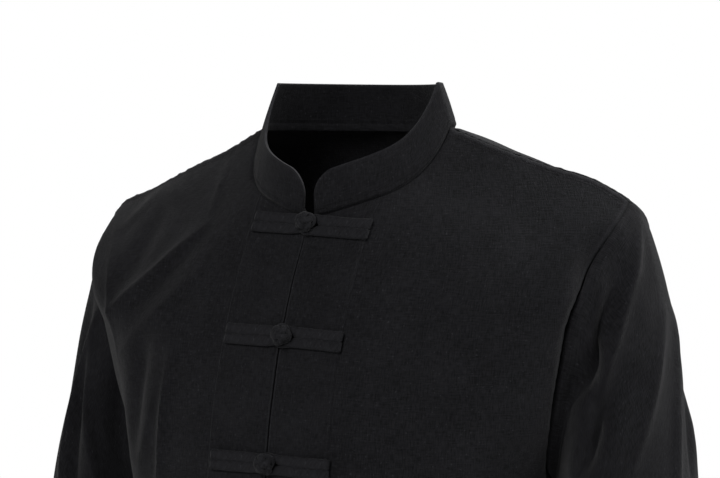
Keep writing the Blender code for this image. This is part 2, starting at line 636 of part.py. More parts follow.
def loop_strap(name, z, material):
    """The wearer's left strap: one cord that comes in, turns round the knot and goes back out."""
    bar = (STRAP_HEIGHT - STRAP_GROOVE) / 2
    offset = (bar + STRAP_GROOVE) / 2
    straight = np.linspace(STRAP_LENGTH, 0.019, 4)
    turn = np.radians(np.linspace(-55, -305, 8))
    lower = np.stack([straight, np.full(4, -offset)], -1)
    ring = LOOP_RADIUS * np.stack([np.cos(turn), np.sin(turn)], -1)
    path = np.vstack([lower, ring, lower[::-1] * (1, -1)])
    widths = np.concatenate([np.full(4, bar), np.full(8, LOOP_CORD), np.full(4, bar)])
    swept_bar(name, path + (FROG_SHIFT, z), widths, material)


def knot_strap(name, z, material):
    """The wearer's right strap: two bars side by side with a groove between them."""
    half, groove, top = STRAP_HEIGHT / 2, STRAP_GROOVE / 2, STRAP_THICKNESS
    profile = ((half, 0.0), (half, 0.45), (half - 0.0015, 1.0), (groove + 0.0015, 1.0), (groove, 0.35),
               (-groove, 0.35), (-groove - 0.0015, 1.0), (-half + 0.0015, 1.0), (-half, 0.45), (-half, 0.0))
    across = FROG_SHIFT - np.linspace(LOOP_RADIUS + LOOP_CORD / 2 + 0.0004, STRAP_LENGTH, 5)
    rings = np.stack([on_band(across, z + up, np.full(5, share * top)) for up, share in profile], 1)
    stations, sides = rings.shape[:2]
    faces = [tuple(range(sides)), tuple((stations - 1) * sides + k for k in range(sides))[::-1]]
    for s in range(stations - 1):
        for k in range(sides):
            m = (k + 1) % sides
            faces.append((s * sides + m, s * sides + k, (s + 1) * sides + k, (s + 1) * sides + m))
    make_node(name, rings.reshape(-1, 3), faces, material)


def knot(name, z, material):
    """The ball knot, standing in the loop."""
    phi, t = front_place(FROG_SHIFT, z)
    normal = body_normal(phi, t)
    reach = LOOP_RADIUS - LOOP_CORD / 2 - SEAM_GAP
    stand = KNOT_RADIUS * KNOT_FLATNESS * np.sqrt(1 - (reach / KNOT_RADIUS) ** 2)
    lift = 2 * LAY_GAP + BAND_CLOTH + STRAP_THICKNESS + stand
    centre = body_surface(phi, t) + normal * lift
    bpy.ops.mesh.primitive_uv_sphere_add(segments=12, ring_count=8, radius=KNOT_RADIUS)
    ball = bpy.context.object
    ball.name = ball.data.name = name
    ball.data.transform(bpy_matrix(normal, centre))
    ball.data.shade_smooth()
    ball.data.materials.append(material)


def bpy_matrix(normal, centre):
    """Turns a ball's flattened axis to the normal and moves it to its centre."""
    turn = Vector(normal).to_track_quat("Z", "Y").to_matrix().to_4x4()
    return Matrix.Translation(Vector(centre)) @ turn @ Matrix.Diagonal((1, 1, KNOT_FLATNESS, 1))


def frog_heights():
    """The z of each frog, spaced along the cloth of the front edge."""
    t = np.linspace(0, T_HEM, 400)
    line = body_surface(np.zeros(400), t)
    lengths = np.concatenate([[0], np.cumsum(np.linalg.norm(np.diff(line, axis=0), axis=1))])
    places = FIRST_FROG_DROP + FROG_SPACING * np.arange(FROG_COUNT)
    return np.interp(places, lengths, line[:, 2])


def clear_scene():
    for old in list(bpy.data.objects):
        bpy.data.objects.remove(old)


def cotton():
    material = bpy.data.materials.new("cotton")
    material.use_nodes = True
    shader = material.node_tree.nodes["Principled BSDF"]
    shader.inputs["Base Color"].default_value = COTTON
    shader.inputs["Roughness"].default_value = COTTON_ROUGHNESS
    shader.inputs["Metallic"].default_value = 0.0
    return material


def main():
    clear_scene()
    material = cotton()
    arms = {1: LEFT_ARM, -1: RIGHT_ARM}
    left_turns = front("front_left", 1, arms, material)
    right_turns = front("front_right", -1, arms, material)
    back(arms, material)
    sleeve("sleeve_left", 1, LEFT_ARM, LEFT_SLEEVE_FOLDS, material)
    sleeve("sleeve_right", -1, RIGHT_ARM, RIGHT_SLEEVE_FOLDS, material)
    collar(material)
    band("band_left", 1, left_turns, material)
    band("band_right", -1, right_turns, material)
    underlap(left_turns, right_turns, material)
    for number, z in enumerate(frog_heights(), 1):
        loop_strap(f"frog_{number}_loop", z, material)
        knot_strap(f"frog_{number}_tails", z, material)
        knot(f"frog_{number}_knot", z, material)


main()
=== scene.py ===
# %% [markdown]
# A tai chi jacket as it is worn: black cotton, a stand collar, set-in sleeves, and cords knotted
# down an edge-to-edge front. The CAD model gives the place of every panel. This script makes the
# cloth again, finer, with its folds, seams, stitches, cords and weave.
#
# We load the CAD model first.

# %% The tools and the CAD model
import json
from collections import namedtuple

import bmesh
import bpy
import numpy as np
from mathutils import Matrix, Vector

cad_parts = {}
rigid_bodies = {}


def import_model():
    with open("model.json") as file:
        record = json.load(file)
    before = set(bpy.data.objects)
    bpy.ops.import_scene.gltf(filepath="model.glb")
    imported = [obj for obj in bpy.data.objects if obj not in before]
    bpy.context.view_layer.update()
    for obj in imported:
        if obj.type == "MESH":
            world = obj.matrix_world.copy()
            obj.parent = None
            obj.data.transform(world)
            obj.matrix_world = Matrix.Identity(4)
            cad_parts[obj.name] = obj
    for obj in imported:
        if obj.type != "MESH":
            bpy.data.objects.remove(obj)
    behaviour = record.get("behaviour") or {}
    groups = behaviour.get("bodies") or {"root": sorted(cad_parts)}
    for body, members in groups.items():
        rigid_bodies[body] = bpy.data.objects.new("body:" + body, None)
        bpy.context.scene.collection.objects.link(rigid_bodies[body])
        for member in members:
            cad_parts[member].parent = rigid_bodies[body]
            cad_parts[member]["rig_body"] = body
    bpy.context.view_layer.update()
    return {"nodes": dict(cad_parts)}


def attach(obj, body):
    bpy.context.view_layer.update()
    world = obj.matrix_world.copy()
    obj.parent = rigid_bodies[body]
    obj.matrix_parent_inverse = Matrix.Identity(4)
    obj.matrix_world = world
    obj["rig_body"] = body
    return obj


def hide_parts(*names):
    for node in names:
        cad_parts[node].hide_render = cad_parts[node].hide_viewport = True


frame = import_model()
scene = bpy.context.scene
scene.view_settings.view_transform = "Standard"


def add_object(name, data):
    """A new object in the scene, at the origin."""
    item = bpy.data.objects.new(name, data)
    scene.collection.objects.link(item)
    return item


def add_mesh(name, mesh):
    """A new object from a bmesh, which is freed."""
    data = bpy.data.meshes.new(name)
    mesh.to_mesh(data)
    mesh.free()
    return add_object(name, data)


# %% [markdown]
# The photograph looks at the jacket a little from the wearer's left, almost level, through a long
# lens from about two and a half metres. A camera is placed by the direction that it looks from, so
# the numbers below are a turn, a rise, a distance and a focal length.

# %% Camera
VIEW_TURN = np.radians(28.0)
VIEW_RISE = np.radians(1.7)
VIEW_DISTANCE = 2.6
VIEW_LENS = 158.6
AIM_RIGHT, AIM_DOWN = 0.0028, 0.0913

back_way = Vector((np.sin(VIEW_TURN) * np.cos(VIEW_RISE), -np.cos(VIEW_TURN) * np.cos(VIEW_RISE),
                   np.sin(VIEW_RISE)))
right_way = Vector((np.cos(VIEW_TURN), np.sin(VIEW_TURN), 0))
up_way = back_way.cross(right_way)
aim = right_way * AIM_RIGHT - up_way * AIM_DOWN
camera = add_object("camera", bpy.data.cameras.new("camera"))
camera.location = back_way * VIEW_DISTANCE
camera.rotation_mode = "QUATERNION"
camera.rotation_quaternion = (aim - camera.location).to_track_quat("-Z", "Y")
camera.data.sensor_width = 36
camera.data.lens = VIEW_LENS
scene.camera = camera
print("camera at", tuple(round(v, 3) for v in camera.location))

# %% [markdown]
# Black cloth shows its folds only by the light that grazes them. So two strong lamps stand behind,
# high up, one of them to the wearer's left, where they draw the rims and ridges. A third, in front,
# lights the chest, and a faint one stands behind the right shoulder. The surround is seen as plain
# white but lights the cloth less than that, or the black would wash out to grey. The floor is far
# enough down to stay out of the frame.

# %% Light, surround and floor
LAMPS = (
    ((0.0, -2.9, 1.7), 2.0, 80.0),
    ((-2.4, 1.9, 2.0), 1.8, 10.0),
    ((2.8, 1.2, 1.7), 1.8, 95.0),
    ((0.6, 2.2, 2.3), 1.8, 105.0),
)
LAMP_AIM = Vector((0, 0, -0.2))
SURROUND = 1.0
ROOM_LIGHT = 0.20
FLOOR_DEPTH = -0.95

for number, (place, size, power) in enumerate(LAMPS):
    lamp = add_object(f"lamp_{number}", bpy.data.lights.new(f"lamp_{number}", "AREA"))
    lamp.data.shape = "DISK"
    lamp.data.size = size
    lamp.data.energy = power
    lamp.location = place
    lamp.rotation_mode = "QUATERNION"
    lamp.rotation_quaternion = (LAMP_AIM - lamp.location).to_track_quat("-Z", "Y")

world = bpy.data.worlds.new("white surround")
scene.world = world
world.use_nodes = True
surround = world.node_tree.nodes["Background"]
surround.inputs["Color"].default_value = (1, 1, 1, 1)
rays = world.node_tree.nodes.new("ShaderNodeLightPath")
level = world.node_tree.nodes.new("ShaderNodeMapRange")
level.inputs["To Min"].default_value = ROOM_LIGHT
level.inputs["To Max"].default_value = SURROUND
world.node_tree.links.new(rays.outputs["Is Camera Ray"], level.inputs["Value"])
world.node_tree.links.new(level.outputs["Result"], surround.inputs["Strength"])

floor_mesh = bmesh.new()
bmesh.ops.create_circle(floor_mesh, cap_ends=True, segments=96, radius=3.0,
                        matrix=Matrix.Translation((0, 0, FLOOR_DEPTH)))
floor = add_mesh("floor", floor_mesh)
print("lamps:", len(LAMPS), "floor at", FLOOR_DEPTH)

# %% [markdown]
# The jacket's form is a stack of rings. Each row of the table is one ring, from the neck seam to
# the hem: how far it reaches to each side, where its side point, front point and back point lie,
# and how square it is (2 is an ellipse). A smooth curve through the rows gives every ring between.
# The same table shapes the CAD panels, so the cloth lies where they lie.

# %% The rings of the body
# name, right_x, left_x, side_y, right_z, left_z, front_y, front_z, back_y, back_z, squareness, vee
BODY = (
    ("neck seam", 0.086, 0.086, 0.000, 0.000, 0.002, -0.080, -0.0705, 0.062, -0.0015, 2.0, 0.060),
    ("collar bone", 0.125, 0.125, 0.004, -0.0200, -0.013, -0.0935, -0.095, 0.079, -0.013, 2.1, 0.040),
    ("mid shoulder", 0.165, 0.165, 0.010, -0.0365, -0.0265, -0.107, -0.118, 0.092, -0.036, 2.2, 0.015),
    ("outer shoulder", 0.205, 0.210, 0.017, -0.0540, -0.0405, -0.1185, -0.142, 0.102, -0.061, 2.3, 0.0),
    ("shoulder tip", 0.2414, 0.2414, 0.0227, -0.0705, -0.0645, -0.128, -0.166, 0.109, -0.088, 2.45, 0.0),
    ("upper armhole", 0.228, 0.240, 0.022, -0.120, -0.120, -0.1385, -0.200, 0.116, -0.130, 2.5, 0.0),
    ("mid armhole", 0.217, 0.228, 0.021, -0.185, -0.185, -0.1475, -0.240, 0.120, -0.185, 2.5, 0.0),
    ("low armhole", 0.204, 0.206, 0.020, -0.240, -0.240, -0.1525, -0.275, 0.119, -0.240, 2.5, 0.0),
    ("underarm", 0.194, 0.187, 0.018, -0.285, -0.285, -0.1545, -0.305, 0.116, -0.290, 2.5, 0.0),
    ("chest", 0.190, 0.181, 0.012, -0.335, -0.335, -0.155, -0.345, 0.110, -0.340, 2.5, 0.0),
    ("waist", 0.187, 0.182, 0.000, -0.430, -0.430, -0.149, -0.435, 0.100, -0.432, 2.45, 0.0),
    ("hip", 0.199, 0.197, -0.006, -0.560, -0.560, -0.145, -0.563, 0.107, -0.562, 2.4, 0.0),
    ("hem", 0.214, 0.212, -0.010, -0.735, -0.735, -0.147, -0.735, 0.118, -0.735, 2.4, 0.0),
)
TIP, UNDERARM = 4, 8


def unit(vectors):
    """Vectors of length one, along the last axis."""
    return vectors / np.maximum(np.linalg.norm(vectors, axis=-1, keepdims=True), 1e-12)


def bell(x, width):
    """1 at zero, falling off smoothly to both sides."""
    return np.exp(-((x / width) ** 2))


def run_of(points):
    """The length so far at each point of a line."""
    return np.concatenate([[0], np.cumsum(np.linalg.norm(np.diff(points, axis=0), axis=1))])


def spline(knots, values, at):
    """A smooth curve through rows of values at uneven knots, read at any places."""
    step = np.diff(knots)
    slope = np.diff(values, axis=0) / step[:, None]
    inner = slope[:-1] * step[1:, None] + slope[1:] * step[:-1, None]
    tangent = np.vstack([slope[:1], inner / (step[:-1] + step[1:])[:, None], slope[-1:]])
    at = np.asarray(at, float)
    k = np.clip(np.searchsorted(knots, at, side="right") - 1, 0, len(step) - 1)
    u = ((at - knots[k]) / step[k])[..., None]
    h = step[k][..., None]
    rise = (2 * u**3 - 3 * u**2 + 1) * values[k] + (3 * u**2 - 2 * u**3) * values[k + 1]
    return rise + h * ((u**3 - 2 * u**2 + u) * tangent[k] + (u**3 - u**2) * tangent[k + 1])


BODY_VALUES = np.array([row[1:] for row in BODY])
apart = (np.linalg.norm(np.diff(BODY_VALUES[:, [0, 2, 3]], axis=0), axis=1)
         + np.linalg.norm(np.diff(BODY_VALUES[:, [5, 6]], axis=0), axis=1))
BODY_KNOTS = np.concatenate([[0], np.cumsum(apart / 2)])
T_TIP, T_UNDERARM, T_HEM = BODY_KNOTS[TIP], BODY_KNOTS[UNDERARM], BODY_KNOTS[-1]


def body_form(phi, t):
    """The smooth body. phi turns from the front centre, + to the wearer's left; t runs down it."""
    row = np.moveaxis(spline(BODY_KNOTS, BODY_VALUES, t), -1, 0)
    right_x, left_x, side_y, right_z, left_z, front_y, front_z, back_y, back_z, squareness, vee = row
    sine, cosine = np.sin(phi), np.cos(phi)
    reach = np.abs(cosine) ** (2 / squareness)
    end_y = np.where(cosine >= 0, front_y, back_y)
    end_z = np.where(cosine >= 0, front_z, back_z)
    side_z = np.where(phi >= 0, left_z, right_z)
    x = np.where(phi >= 0, left_x, right_x) * np.sign(sine) * np.abs(sine) ** (2 / squareness)
    drop = reach - np.where(cosine >= 0, vee * np.sin(4 * np.abs(phi)), 0)
    return np.stack([x, side_y + (end_y - side_y) * reach, side_z + (end_z - side_z) * drop], -1)


print("cloth from neck seam to hem:", round(T_HEM, 3), "m, armhole from", round(T_TIP, 3), "to",
      round(T_UNDERARM, 3))

# %% [markdown]
# Folds. A cloth simulation would make folds of its own, but the photograph shows particular ones:
# the drape from the collar to the right armhole, the fold down the right side of the chest, and a
# smooth left chest. So each fold is one row of a table, drawn as a stroke across the front or back
# view, with a sag, a width and a height. A low sharpness gives a pinched ridge, 2 gives a soft one.
# The hidden sides get folds of the same kind.

# %% The folds of the body
# name, x and z of the stroke's start, x and z of its end, bow, width, height, sharpness
BODY_FOLDS = {"front": (
    ("right shoulder drape", -0.182, -0.044, -0.216, -0.090, -0.002, 0.008, 0.0026, 1.8),
    ("right neck drape", -0.117, -0.026, -0.105, -0.072, -0.001, 0.004, 0.0018, 1.4),
    ("right chest ridge", -0.100, -0.074, -0.192, -0.162, -0.002, 0.0065, 0.0052, 1.4),
    ("right hollow above", -0.166, -0.056, -0.186, -0.150, -0.004, 0.014, -0.0055, 2.0),
    ("right hollow between", -0.096, -0.078, -0.162, -0.152, -0.002, 0.009, -0.0030, 2.0),
    ("right lower ridge", -0.086, -0.104, -0.174, -0.192, -0.006, 0.009, 0.0038, 1.6),
    ("right side fold", -0.101, -0.166, -0.104, -0.315, 0.002, 0.0045, 0.0055, 1.3),
    ("right side hollow", -0.130, -0.158, -0.143, -0.268, 0.002, 0.010, -0.0070, 2.0),
    ("right side ridge", -0.111, -0.192, -0.134, -0.290, 0.0, 0.006, 0.0020, 1.6),
    ("right armhole roll", -0.262, -0.050, -0.170, -0.205, -0.021, 0.0030, 0.0026, 1.3),
    ("right rib hollow", -0.198, -0.135, -0.160, -0.440, 0.0, 0.024, -0.0120, 2.0),
    ("left waist fold", 0.120, -0.340, 0.135, -0.620, 0.006, 0.020, 0.0050, 2.0),
    ("left waist hollow", 0.155, -0.330, 0.165, -0.560, 0.006, 0.016, -0.0040, 2.0),
    ("right waist fold", -0.100, -0.420, -0.120, -0.690, -0.006, 0.016, 0.0050, 1.8),
), "back": (
    ("back left blade fold", 0.150, -0.120, 0.105, -0.420, 0.012, 0.016, 0.0060, 1.8),
    ("back right blade fold", -0.150, -0.110, -0.110, -0.400, -0.012, 0.015, 0.0055, 1.8),
    ("back left hollow", 0.118, -0.140, 0.080, -0.380, 0.010, 0.016, -0.0035, 2.0),
    ("back right hollow", -0.122, -0.130, -0.086, -0.360, -0.010, 0.016, -0.0030, 2.0),
    ("back waist fold left", 0.070, -0.400, 0.085, -0.700, 0.004, 0.018, 0.0060, 1.8),
    ("back waist fold right", -0.060, -0.430, -0.080, -0.710, -0.004, 0.018, 0.0060, 1.8),
    ("back waist drape", -0.120, -0.330, 0.020, -0.390, 0.010, 0.012, 0.0035, 1.6),
)}


def creases(folds, across, down):
    """The height that a table of folds adds at places of a flat view, in metres."""
    total = np.zeros(np.broadcast(across, down).shape)
    for x0, z0, x1, z1, bow, width, height, sharpness in folds:
        run_x, run_z = x1 - x0, z1 - z0
        length = np.hypot(run_x, run_z)
        along = ((across - x0) * run_x + (down - z0) * run_z) / length**2
        swell = np.clip(1 - (2 * along - 1) ** 2, 0, 1)
        aside = ((across - x0) * run_z - (down - z0) * run_x) / length - bow * swell
        total += height * swell * np.exp(-(np.abs(aside / width) ** sharpness))
    return total


SLACK_HEIGHT, SLACK_WAVE = 0.0006, 0.055


def slack(across, down, seed):
    """A faint unevenness of hanging cloth: a few slow waves in random directions."""
    rng = np.random.default_rng(seed)
    total = np.zeros(np.broadcast(across, down).shape)
    for _ in range(14):
        turn, start = rng.uniform(0, 2 * np.pi, 2)
        pace = 2 * np.pi / (SLACK_WAVE * rng.uniform(0.6, 1.8))
        total += np.sin(pace * (across * np.cos(turn) + 0.6 * down * np.sin(turn)) + start)
    return SLACK_HEIGHT * total / 3


def normals_of(surface, phi, t):
    """Unit normals of a surface by small steps, pointing away from the body."""
    small = 1e-3
    across = surface(phi + small, t) - surface(phi - small, t)
    down = surface(phi, np.minimum(t + small, T_HEM)) - surface(phi, np.maximum(t - small, 0))
    normal = unit(np.cross(across, down))
    outward = np.stack([np.sin(phi), -np.cos(phi), np.full(np.shape(phi), 0.35)], -1)
    flip = np.sign((normal * outward).sum(-1, keepdims=True))
    return normal * np.where(flip == 0, 1, flip)


def body_surface(phi, t):
    """The body with its folds."""
    phi, t = np.broadcast_arrays(np.asarray(phi, float), np.asarray(t, float))
    base = body_form(phi, t)
    normal = normals_of(body_form, phi, t)
    height = np.zeros(phi.shape)
    for face, seed, chosen in (("front", 3, np.cos(phi) > 0), ("back", 4, np.cos(phi) <= 0)):
        folds = [row[1:] for row in BODY_FOLDS[face]]
        added = creases(folds, base[..., 0], base[..., 2]) + slack(base[..., 0], base[..., 2], seed)
        height += np.where(chosen, added, 0)
    hold = np.clip(2.2 * np.abs(np.cos(phi)) ** 0.5, 0, 1) * np.clip(t / 0.02, 0, 1)
    return base + normal * (height * hold)[..., None]


def body_normal(phi, t):
    """Normals of the body with its folds."""
    phi, t = np.broadcast_arrays(np.asarray(phi, float), np.asarray(t, float))
    return normals_of(body_surface, phi, t)


print("folds on the body:", sum(map(len, BODY_FOLDS.values())))

# %% [markdown]
# Seams. A sewn edge dips where two panels meet. Where both allowances are turned to one side and
# stitched down, as at these armholes, the cloth beside the seam stands up in a flat band as wide as
# the allowance, with a groove under the stitches. One small function draws that cross-section,
# and the grids below have closely spaced columns where it is needed.

# %% The cross-section of a sewn edge
def smooth(low, high, x):
    """0 below low, 1 above high, and an even S between them."""
    u = np.clip((x - low) / (high - low), 0, 1)
    return u * u * (3 - 2 * u)


def sewn_edge(distance, allowance, lift=0.0007):
    """The height of cloth at a distance from its seam, over an allowance stitched flat under it."""
    dip = -0.0011 * bell(distance, 0.0012)
    band = lift * smooth(0.0004, 0.0018, distance)
    band *= 1 - smooth(allowance - 0.0008, allowance + 0.0012, distance)
    groove = -0.00035 * bell(distance - allowance + 0.0020, 0.0007)
    return dip + band + groove


def pucker(along, distance, seed, height=0.00028, reach=0.010):
    """Small uneven waves beside a row of stitches, where the thread draws the cloth in."""
    rng = np.random.default_rng(seed)
    total = 0
    for _ in range(6):
        wave = rng.uniform(0.006, 0.017)
        total = total + np.sin(2 * np.pi * (along / wave + rng.uniform()) + distance * rng.uniform(-150, 150))
    return height * total / 2 * bell(distance, reach)


print("felled band at 5 mm:", round(float(sewn_edge(np.array(0.005), 0.011)) * 1000, 2), "mm")

# %% [markdown]
# Every panel starts as one flat grid from bmesh, and each vertex of the grid is then moved to its
# place on the garment. That keeps rows and columns in step with the cloth, so a UV map in metres
# comes free: U across the cloth, V down it. The weave is drawn in those metres, which is why it
# follows the panel round the body as real threads do. A second value, rub, marks where the cloth
# stands proud and gets worn.

# %% From a flat grid to a piece of cloth
def grid_to_piece(name, points, across, down, normal, rub=None, closed=False,
                  thickness=0.0014, bevel=0.0):
    """A piece of cloth over rows and columns of points, with its wall on the inner side."""
    rows, columns = points.shape[:2]
    mesh = bmesh.new()
    bmesh.ops.create_grid(mesh, x_segments=columns - 1, y_segments=rows - 1, size=1)
    weave = mesh.loops.layers.uv.new("cloth")
    worn = mesh.verts.layers.float.new("rub")
    place = {}
    for vertex in mesh.verts:
        c = round((vertex.co.x + 1) / 2 * (columns - 1))
        r = round((1 - vertex.co.y) / 2 * (rows - 1))
        place[vertex] = (r, c)
    for face in mesh.faces:
        for loop in face.loops:
            r, c = place[loop.vert]
            loop[weave].uv = (across[r, c], down[r, c])
    for vertex, (r, c) in place.items():
        vertex.co = points[r, c]
        vertex[worn] = 0 if rub is None else rub[r, c]
    mesh.normal_update()
    facing = sum(vertex.normal.dot(Vector(normal[place[vertex]])) for vertex in mesh.verts)
    if facing < 0:
        bmesh.ops.reverse_faces(mesh, faces=mesh.faces)
    if closed:
        bmesh.ops.remove_doubles(mesh, verts=mesh.verts, dist=1e-6)
    piece = add_mesh(name, mesh)
    if thickness:
        wall = piece.modifiers.new("wall", "SOLIDIFY")
        wall.thickness = thickness
        wall.offset = -1
        wall.use_quality_normals = True
    if bevel:
        soft = piece.modifiers.new("soft edge", "BEVEL")
        soft.width = bevel
        soft.segments = 2
        soft.limit_method = "ANGLE"
        soft.angle_limit = np.radians(50)
    return settle(piece)


def settle(piece):
    """Applies a piece's modifiers, smooths its shading and lets it ride on the jacket's one body."""
    if piece.modifiers:
        applied = bpy.data.meshes.new_from_object(
            piece.evaluated_get(bpy.context.evaluated_depsgraph_get()))
        piece.modifiers.clear()
        old = piece.data
        piece.data = applied
        bpy.data.meshes.remove(old)
        piece.data.name = piece.name
    piece.data.shade_smooth()
    piece.data.set_sharp_from_angle(angle=np.radians(55))
    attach(piece, "root")
    return piece


def one_layer(points):
    """The area of a grid of points, in square metres."""
    across, down = np.diff(points, axis=1)[:-1], np.diff(points, axis=0)[:, :-1]
    return float(np.linalg.norm(np.cross(across, down), axis=-1).sum())


print("panel tools ready")

# %% [markdown]
# The body is cut as two fronts and a back. To find places on it, we measure every ring once: how far
# it is from the centre line to each turn. A distance and a t then give a turn, as a tape measure
# would.

# %% Measuring round the body
SEAM_GAP = 0.0003
RING_COUNT = 420
RING_ROWS = np.linspace(0, T_HEM, RING_COUNT)
RINGS = {}
for side in (1, -1):
    for is_front in (True, False):
        turns = np.linspace(0.0 if is_front else side * np.pi, side * np.pi / 2, 161)
        ring_points = body_surface(turns[None], RING_ROWS[:, None])
        steps = np.linalg.norm(np.diff(ring_points, axis=1), axis=-1)
        RINGS[side, is_front] = turns, np.concatenate([np.zeros((RING_COUNT, 1)), np.cumsum(steps, axis=1)], axis=1)


def ring_row(t):
    """The measured row at or above t, and how far t lies past it."""
    last = RING_COUNT - 1
    place = np.clip(np.asarray(t, float) / T_HEM * last, 0, last - 0.0001)
    return place.astype(int), place - place.astype(int)


def turn_at(side, is_front, t, reach):
    """The turn of places at a distance from the centre line along the ring at t."""
    turns, lengths = RINGS[side, is_front]
    t, reach = np.broadcast_arrays(t, reach)
    found = [(1 - part) * np.interp(far, lengths[row], turns) + part * np.interp(far, lengths[row + 1], turns)
             for row, part, far in zip(*(values.ravel() for values in (*ring_row(t), reach)))]
    return np.array(found).reshape(t.shape)


def ring_length(side, is_front, t):
    """The distance from the centre line to the side or shoulder seam along the ring at t."""
    row, part = ring_row(t)
    ends = RINGS[side, is_front][1][:, -1]
    return (1 - part) * ends[row] + part * ends[row + 1]


print("half round the chest:", round(float(ring_length(1, True, 0.36) + ring_length(1, False, 0.36)), 3))

# %% [markdown]
# The armhole opens between the shoulder tip and the underarm. Its seam leaves the tip along the
# shoulder, turns down, and comes back to the side seam in a round. It lies deeper in the wearer's
# left front than elsewhere, since the photograph shows it so. The allowance is turned to the sleeve
# and stitched down, so the sleeve starts with a flat strip that still lies on the body, and leaves
# the body from a second line outside the first. Lower down the chest rolls over the seam, so the
# seam sinks in there.

# %% The armhole seams
Armhole = namedtuple("Armhole", "tip depth peak fullness")
ARMHOLE_SEAMS = {
    (1, True): Armhole(-0.010, 0.0950, 0.21, 0.16), (1, False): Armhole(-0.010, 0.078, 0.50, 0.50),
    (-1, True): Armhole(0.000, 0.0740, 0.50, 0.50), (-1, False): Armhole(0.000, 0.078, 0.50, 0.50),
}
SLEEVE_STARTS = {
    (1, True): Armhole(0.000, 0.0830, 0.21, 0.16), (1, False): Armhole(0.000, 0.067, 0.50, 0.50),
    (-1, True): Armhole(0.007, 0.0630, 0.50, 0.50), (-1, False): Armhole(0.007, 0.067, 0.50, 0.50),
}
ARMHOLE_SINK = {(1, True): 0.0110, (-1, True): 0.0035, (1, False): 0.0020, (-1, False): 0.0020}
ARMHOLE_ROLL = {(1, True): 0.060, (-1, True): 0.040, (1, False): 0.050, (-1, False): 0.050}


def armhole_line(shapes, side, is_front, count):
    """t, distance from the centre, and length so far, at even steps down one half of an armhole."""
    shape = shapes[side, is_front]
    angle = np.linspace(0, np.pi, 900)
    share = np.sin(angle)
    upper = shape.peak * (1 - np.sqrt(np.clip(1 - share ** (1 / shape.fullness), 0, 1)))
    lower = shape.peak + (1 - shape.peak) * np.sqrt(np.clip(1 - share**2, 0, 1))
    top = T_TIP + shape.tip
    t = top + np.where(angle < np.pi / 2, upper, lower) * (T_UNDERARM - top)
    reach = ring_length(side, is_front, t) - shape.depth * share
    points = body_surface(turn_at(side, is_front, t, reach), t)
    run = run_of(points)
    even = np.linspace(0, run[-1], count + 1)
    return np.interp(even, run, t), np.interp(even, run, reach), even


def sunk(side, is_front, run, whole):
    """How deep the armhole seam lies under the chest's roll, by its length from the shoulder tip."""
    depth, start = ARMHOLE_SINK[side, is_front], ARMHOLE_ROLL[side, is_front]
    return depth * smooth(start - 0.035, start + 0.015, run) * (1 - smooth(whole - 0.045, whole, run))


print("left armhole seam, front half:", round(float(armhole_line(ARMHOLE_SEAMS, 1, True, 10)[2][-1]), 3), "m")

# %% [markdown]
# The grid of a panel has its rows spread along the outer seam, so they fan out where the armhole
# turns the corner, and its columns stand close together near the seam. Every height that a seam
# adds depends on the distance to it, so that is measured too, to the nearest point of the seam.

# %% Rows and columns of the body panels
FRONT_GAP = 0.0007
CLOTH = 0.0014
ALLOWANCE = 0.0075
HEM_TURN = 0.022
STITCH_IN = 0.0020
STRIP_CLOTH, STRIP_BEVEL = 0.0010, 0.0003
ARMHOLE_STEPS = 100
YOKE_ROWS = 51
NECK_BAND = 0.012
SEAM_BAND = 0.016
HEM_BAND = 0.024
FRONT_NEAR = 24
SKIRT_T = np.concatenate([np.linspace(T_UNDERARM, T_HEM - HEM_BAND, 130)[1:],
                          np.linspace(T_HEM - HEM_BAND, T_HEM, 14)[1:]])


def half_panel(side, is_front, start, wide, near):
    """t, turn and distance from the centre of each grid point of a half panel."""
    seam_t, seam_reach, _ = armhole_line(ARMHOLE_SEAMS, side, is_front, ARMHOLE_STEPS)
    yoke = np.concatenate([np.linspace(0, NECK_BAND, 9)[:-1],
                           np.linspace(NECK_BAND, seam_t[0], YOKE_ROWS - 7)[:-1]])
    edge_t = np.concatenate([yoke, seam_t, SKIRT_T])
    edge_reach = np.concatenate([ring_length(side, is_front, yoke), seam_reach,
                                 ring_length(side, is_front, SKIRT_T)]) - SEAM_GAP / 2
    lead = 0.34 if (side, is_front) == (1, True) else 0.15
    centre_t = np.concatenate([yoke * (1 - lead * smooth(NECK_BAND, seam_t[0], yoke)),
                               np.linspace(seam_t[0] * (1 - lead), T_UNDERARM, ARMHOLE_STEPS + 1), SKIRT_T])
    reach = np.array([np.concatenate([np.linspace(start, end - SEAM_BAND, wide),
                                      np.linspace(end - SEAM_BAND, end, near + 1)[1:]]) for end in edge_reach])
    t = centre_t[:, None] + (edge_t - centre_t)[:, None] * (reach / edge_reach[:, None]) ** 2
    return t, turn_at(side, is_front, t, reach), reach


def from_line(points, line):
    """The distance of each point from a line of points, and how far along it the nearest place is."""
    start, step = line[:-1], np.diff(line, axis=0)
    size = (step**2).sum(-1)
    run = np.concatenate([[0], np.cumsum(np.sqrt(size))])
    distance, along = np.empty(points.shape[:-1]), np.empty(points.shape[:-1])
    for number, row in enumerate(points):
        offset = row[:, None] - start
        part = np.clip((offset * step).sum(-1) / size, 0, 1)
        gap = np.linalg.norm(offset - part[..., None] * step, axis=-1)
        nearest = gap.argmin(1)
        pick = np.arange(len(row))
        distance[number] = gap[pick, nearest]
        along[number] = run[nearest] + part[pick, nearest] * np.sqrt(size[nearest])
    return distance, along


print("rows of a panel:", YOKE_ROWS + ARMHOLE_STEPS + 1 + len(SKIRT_T))

# %% [markdown]
# A panel's surface is the ring surface, raised or lowered along its normal by what is sewn there:
# the outer seam with its stitched allowance, the roll over the armhole, the neck seam above, and
# the hem below. Its threads run level and upright, as they hang, whatever the seams do.

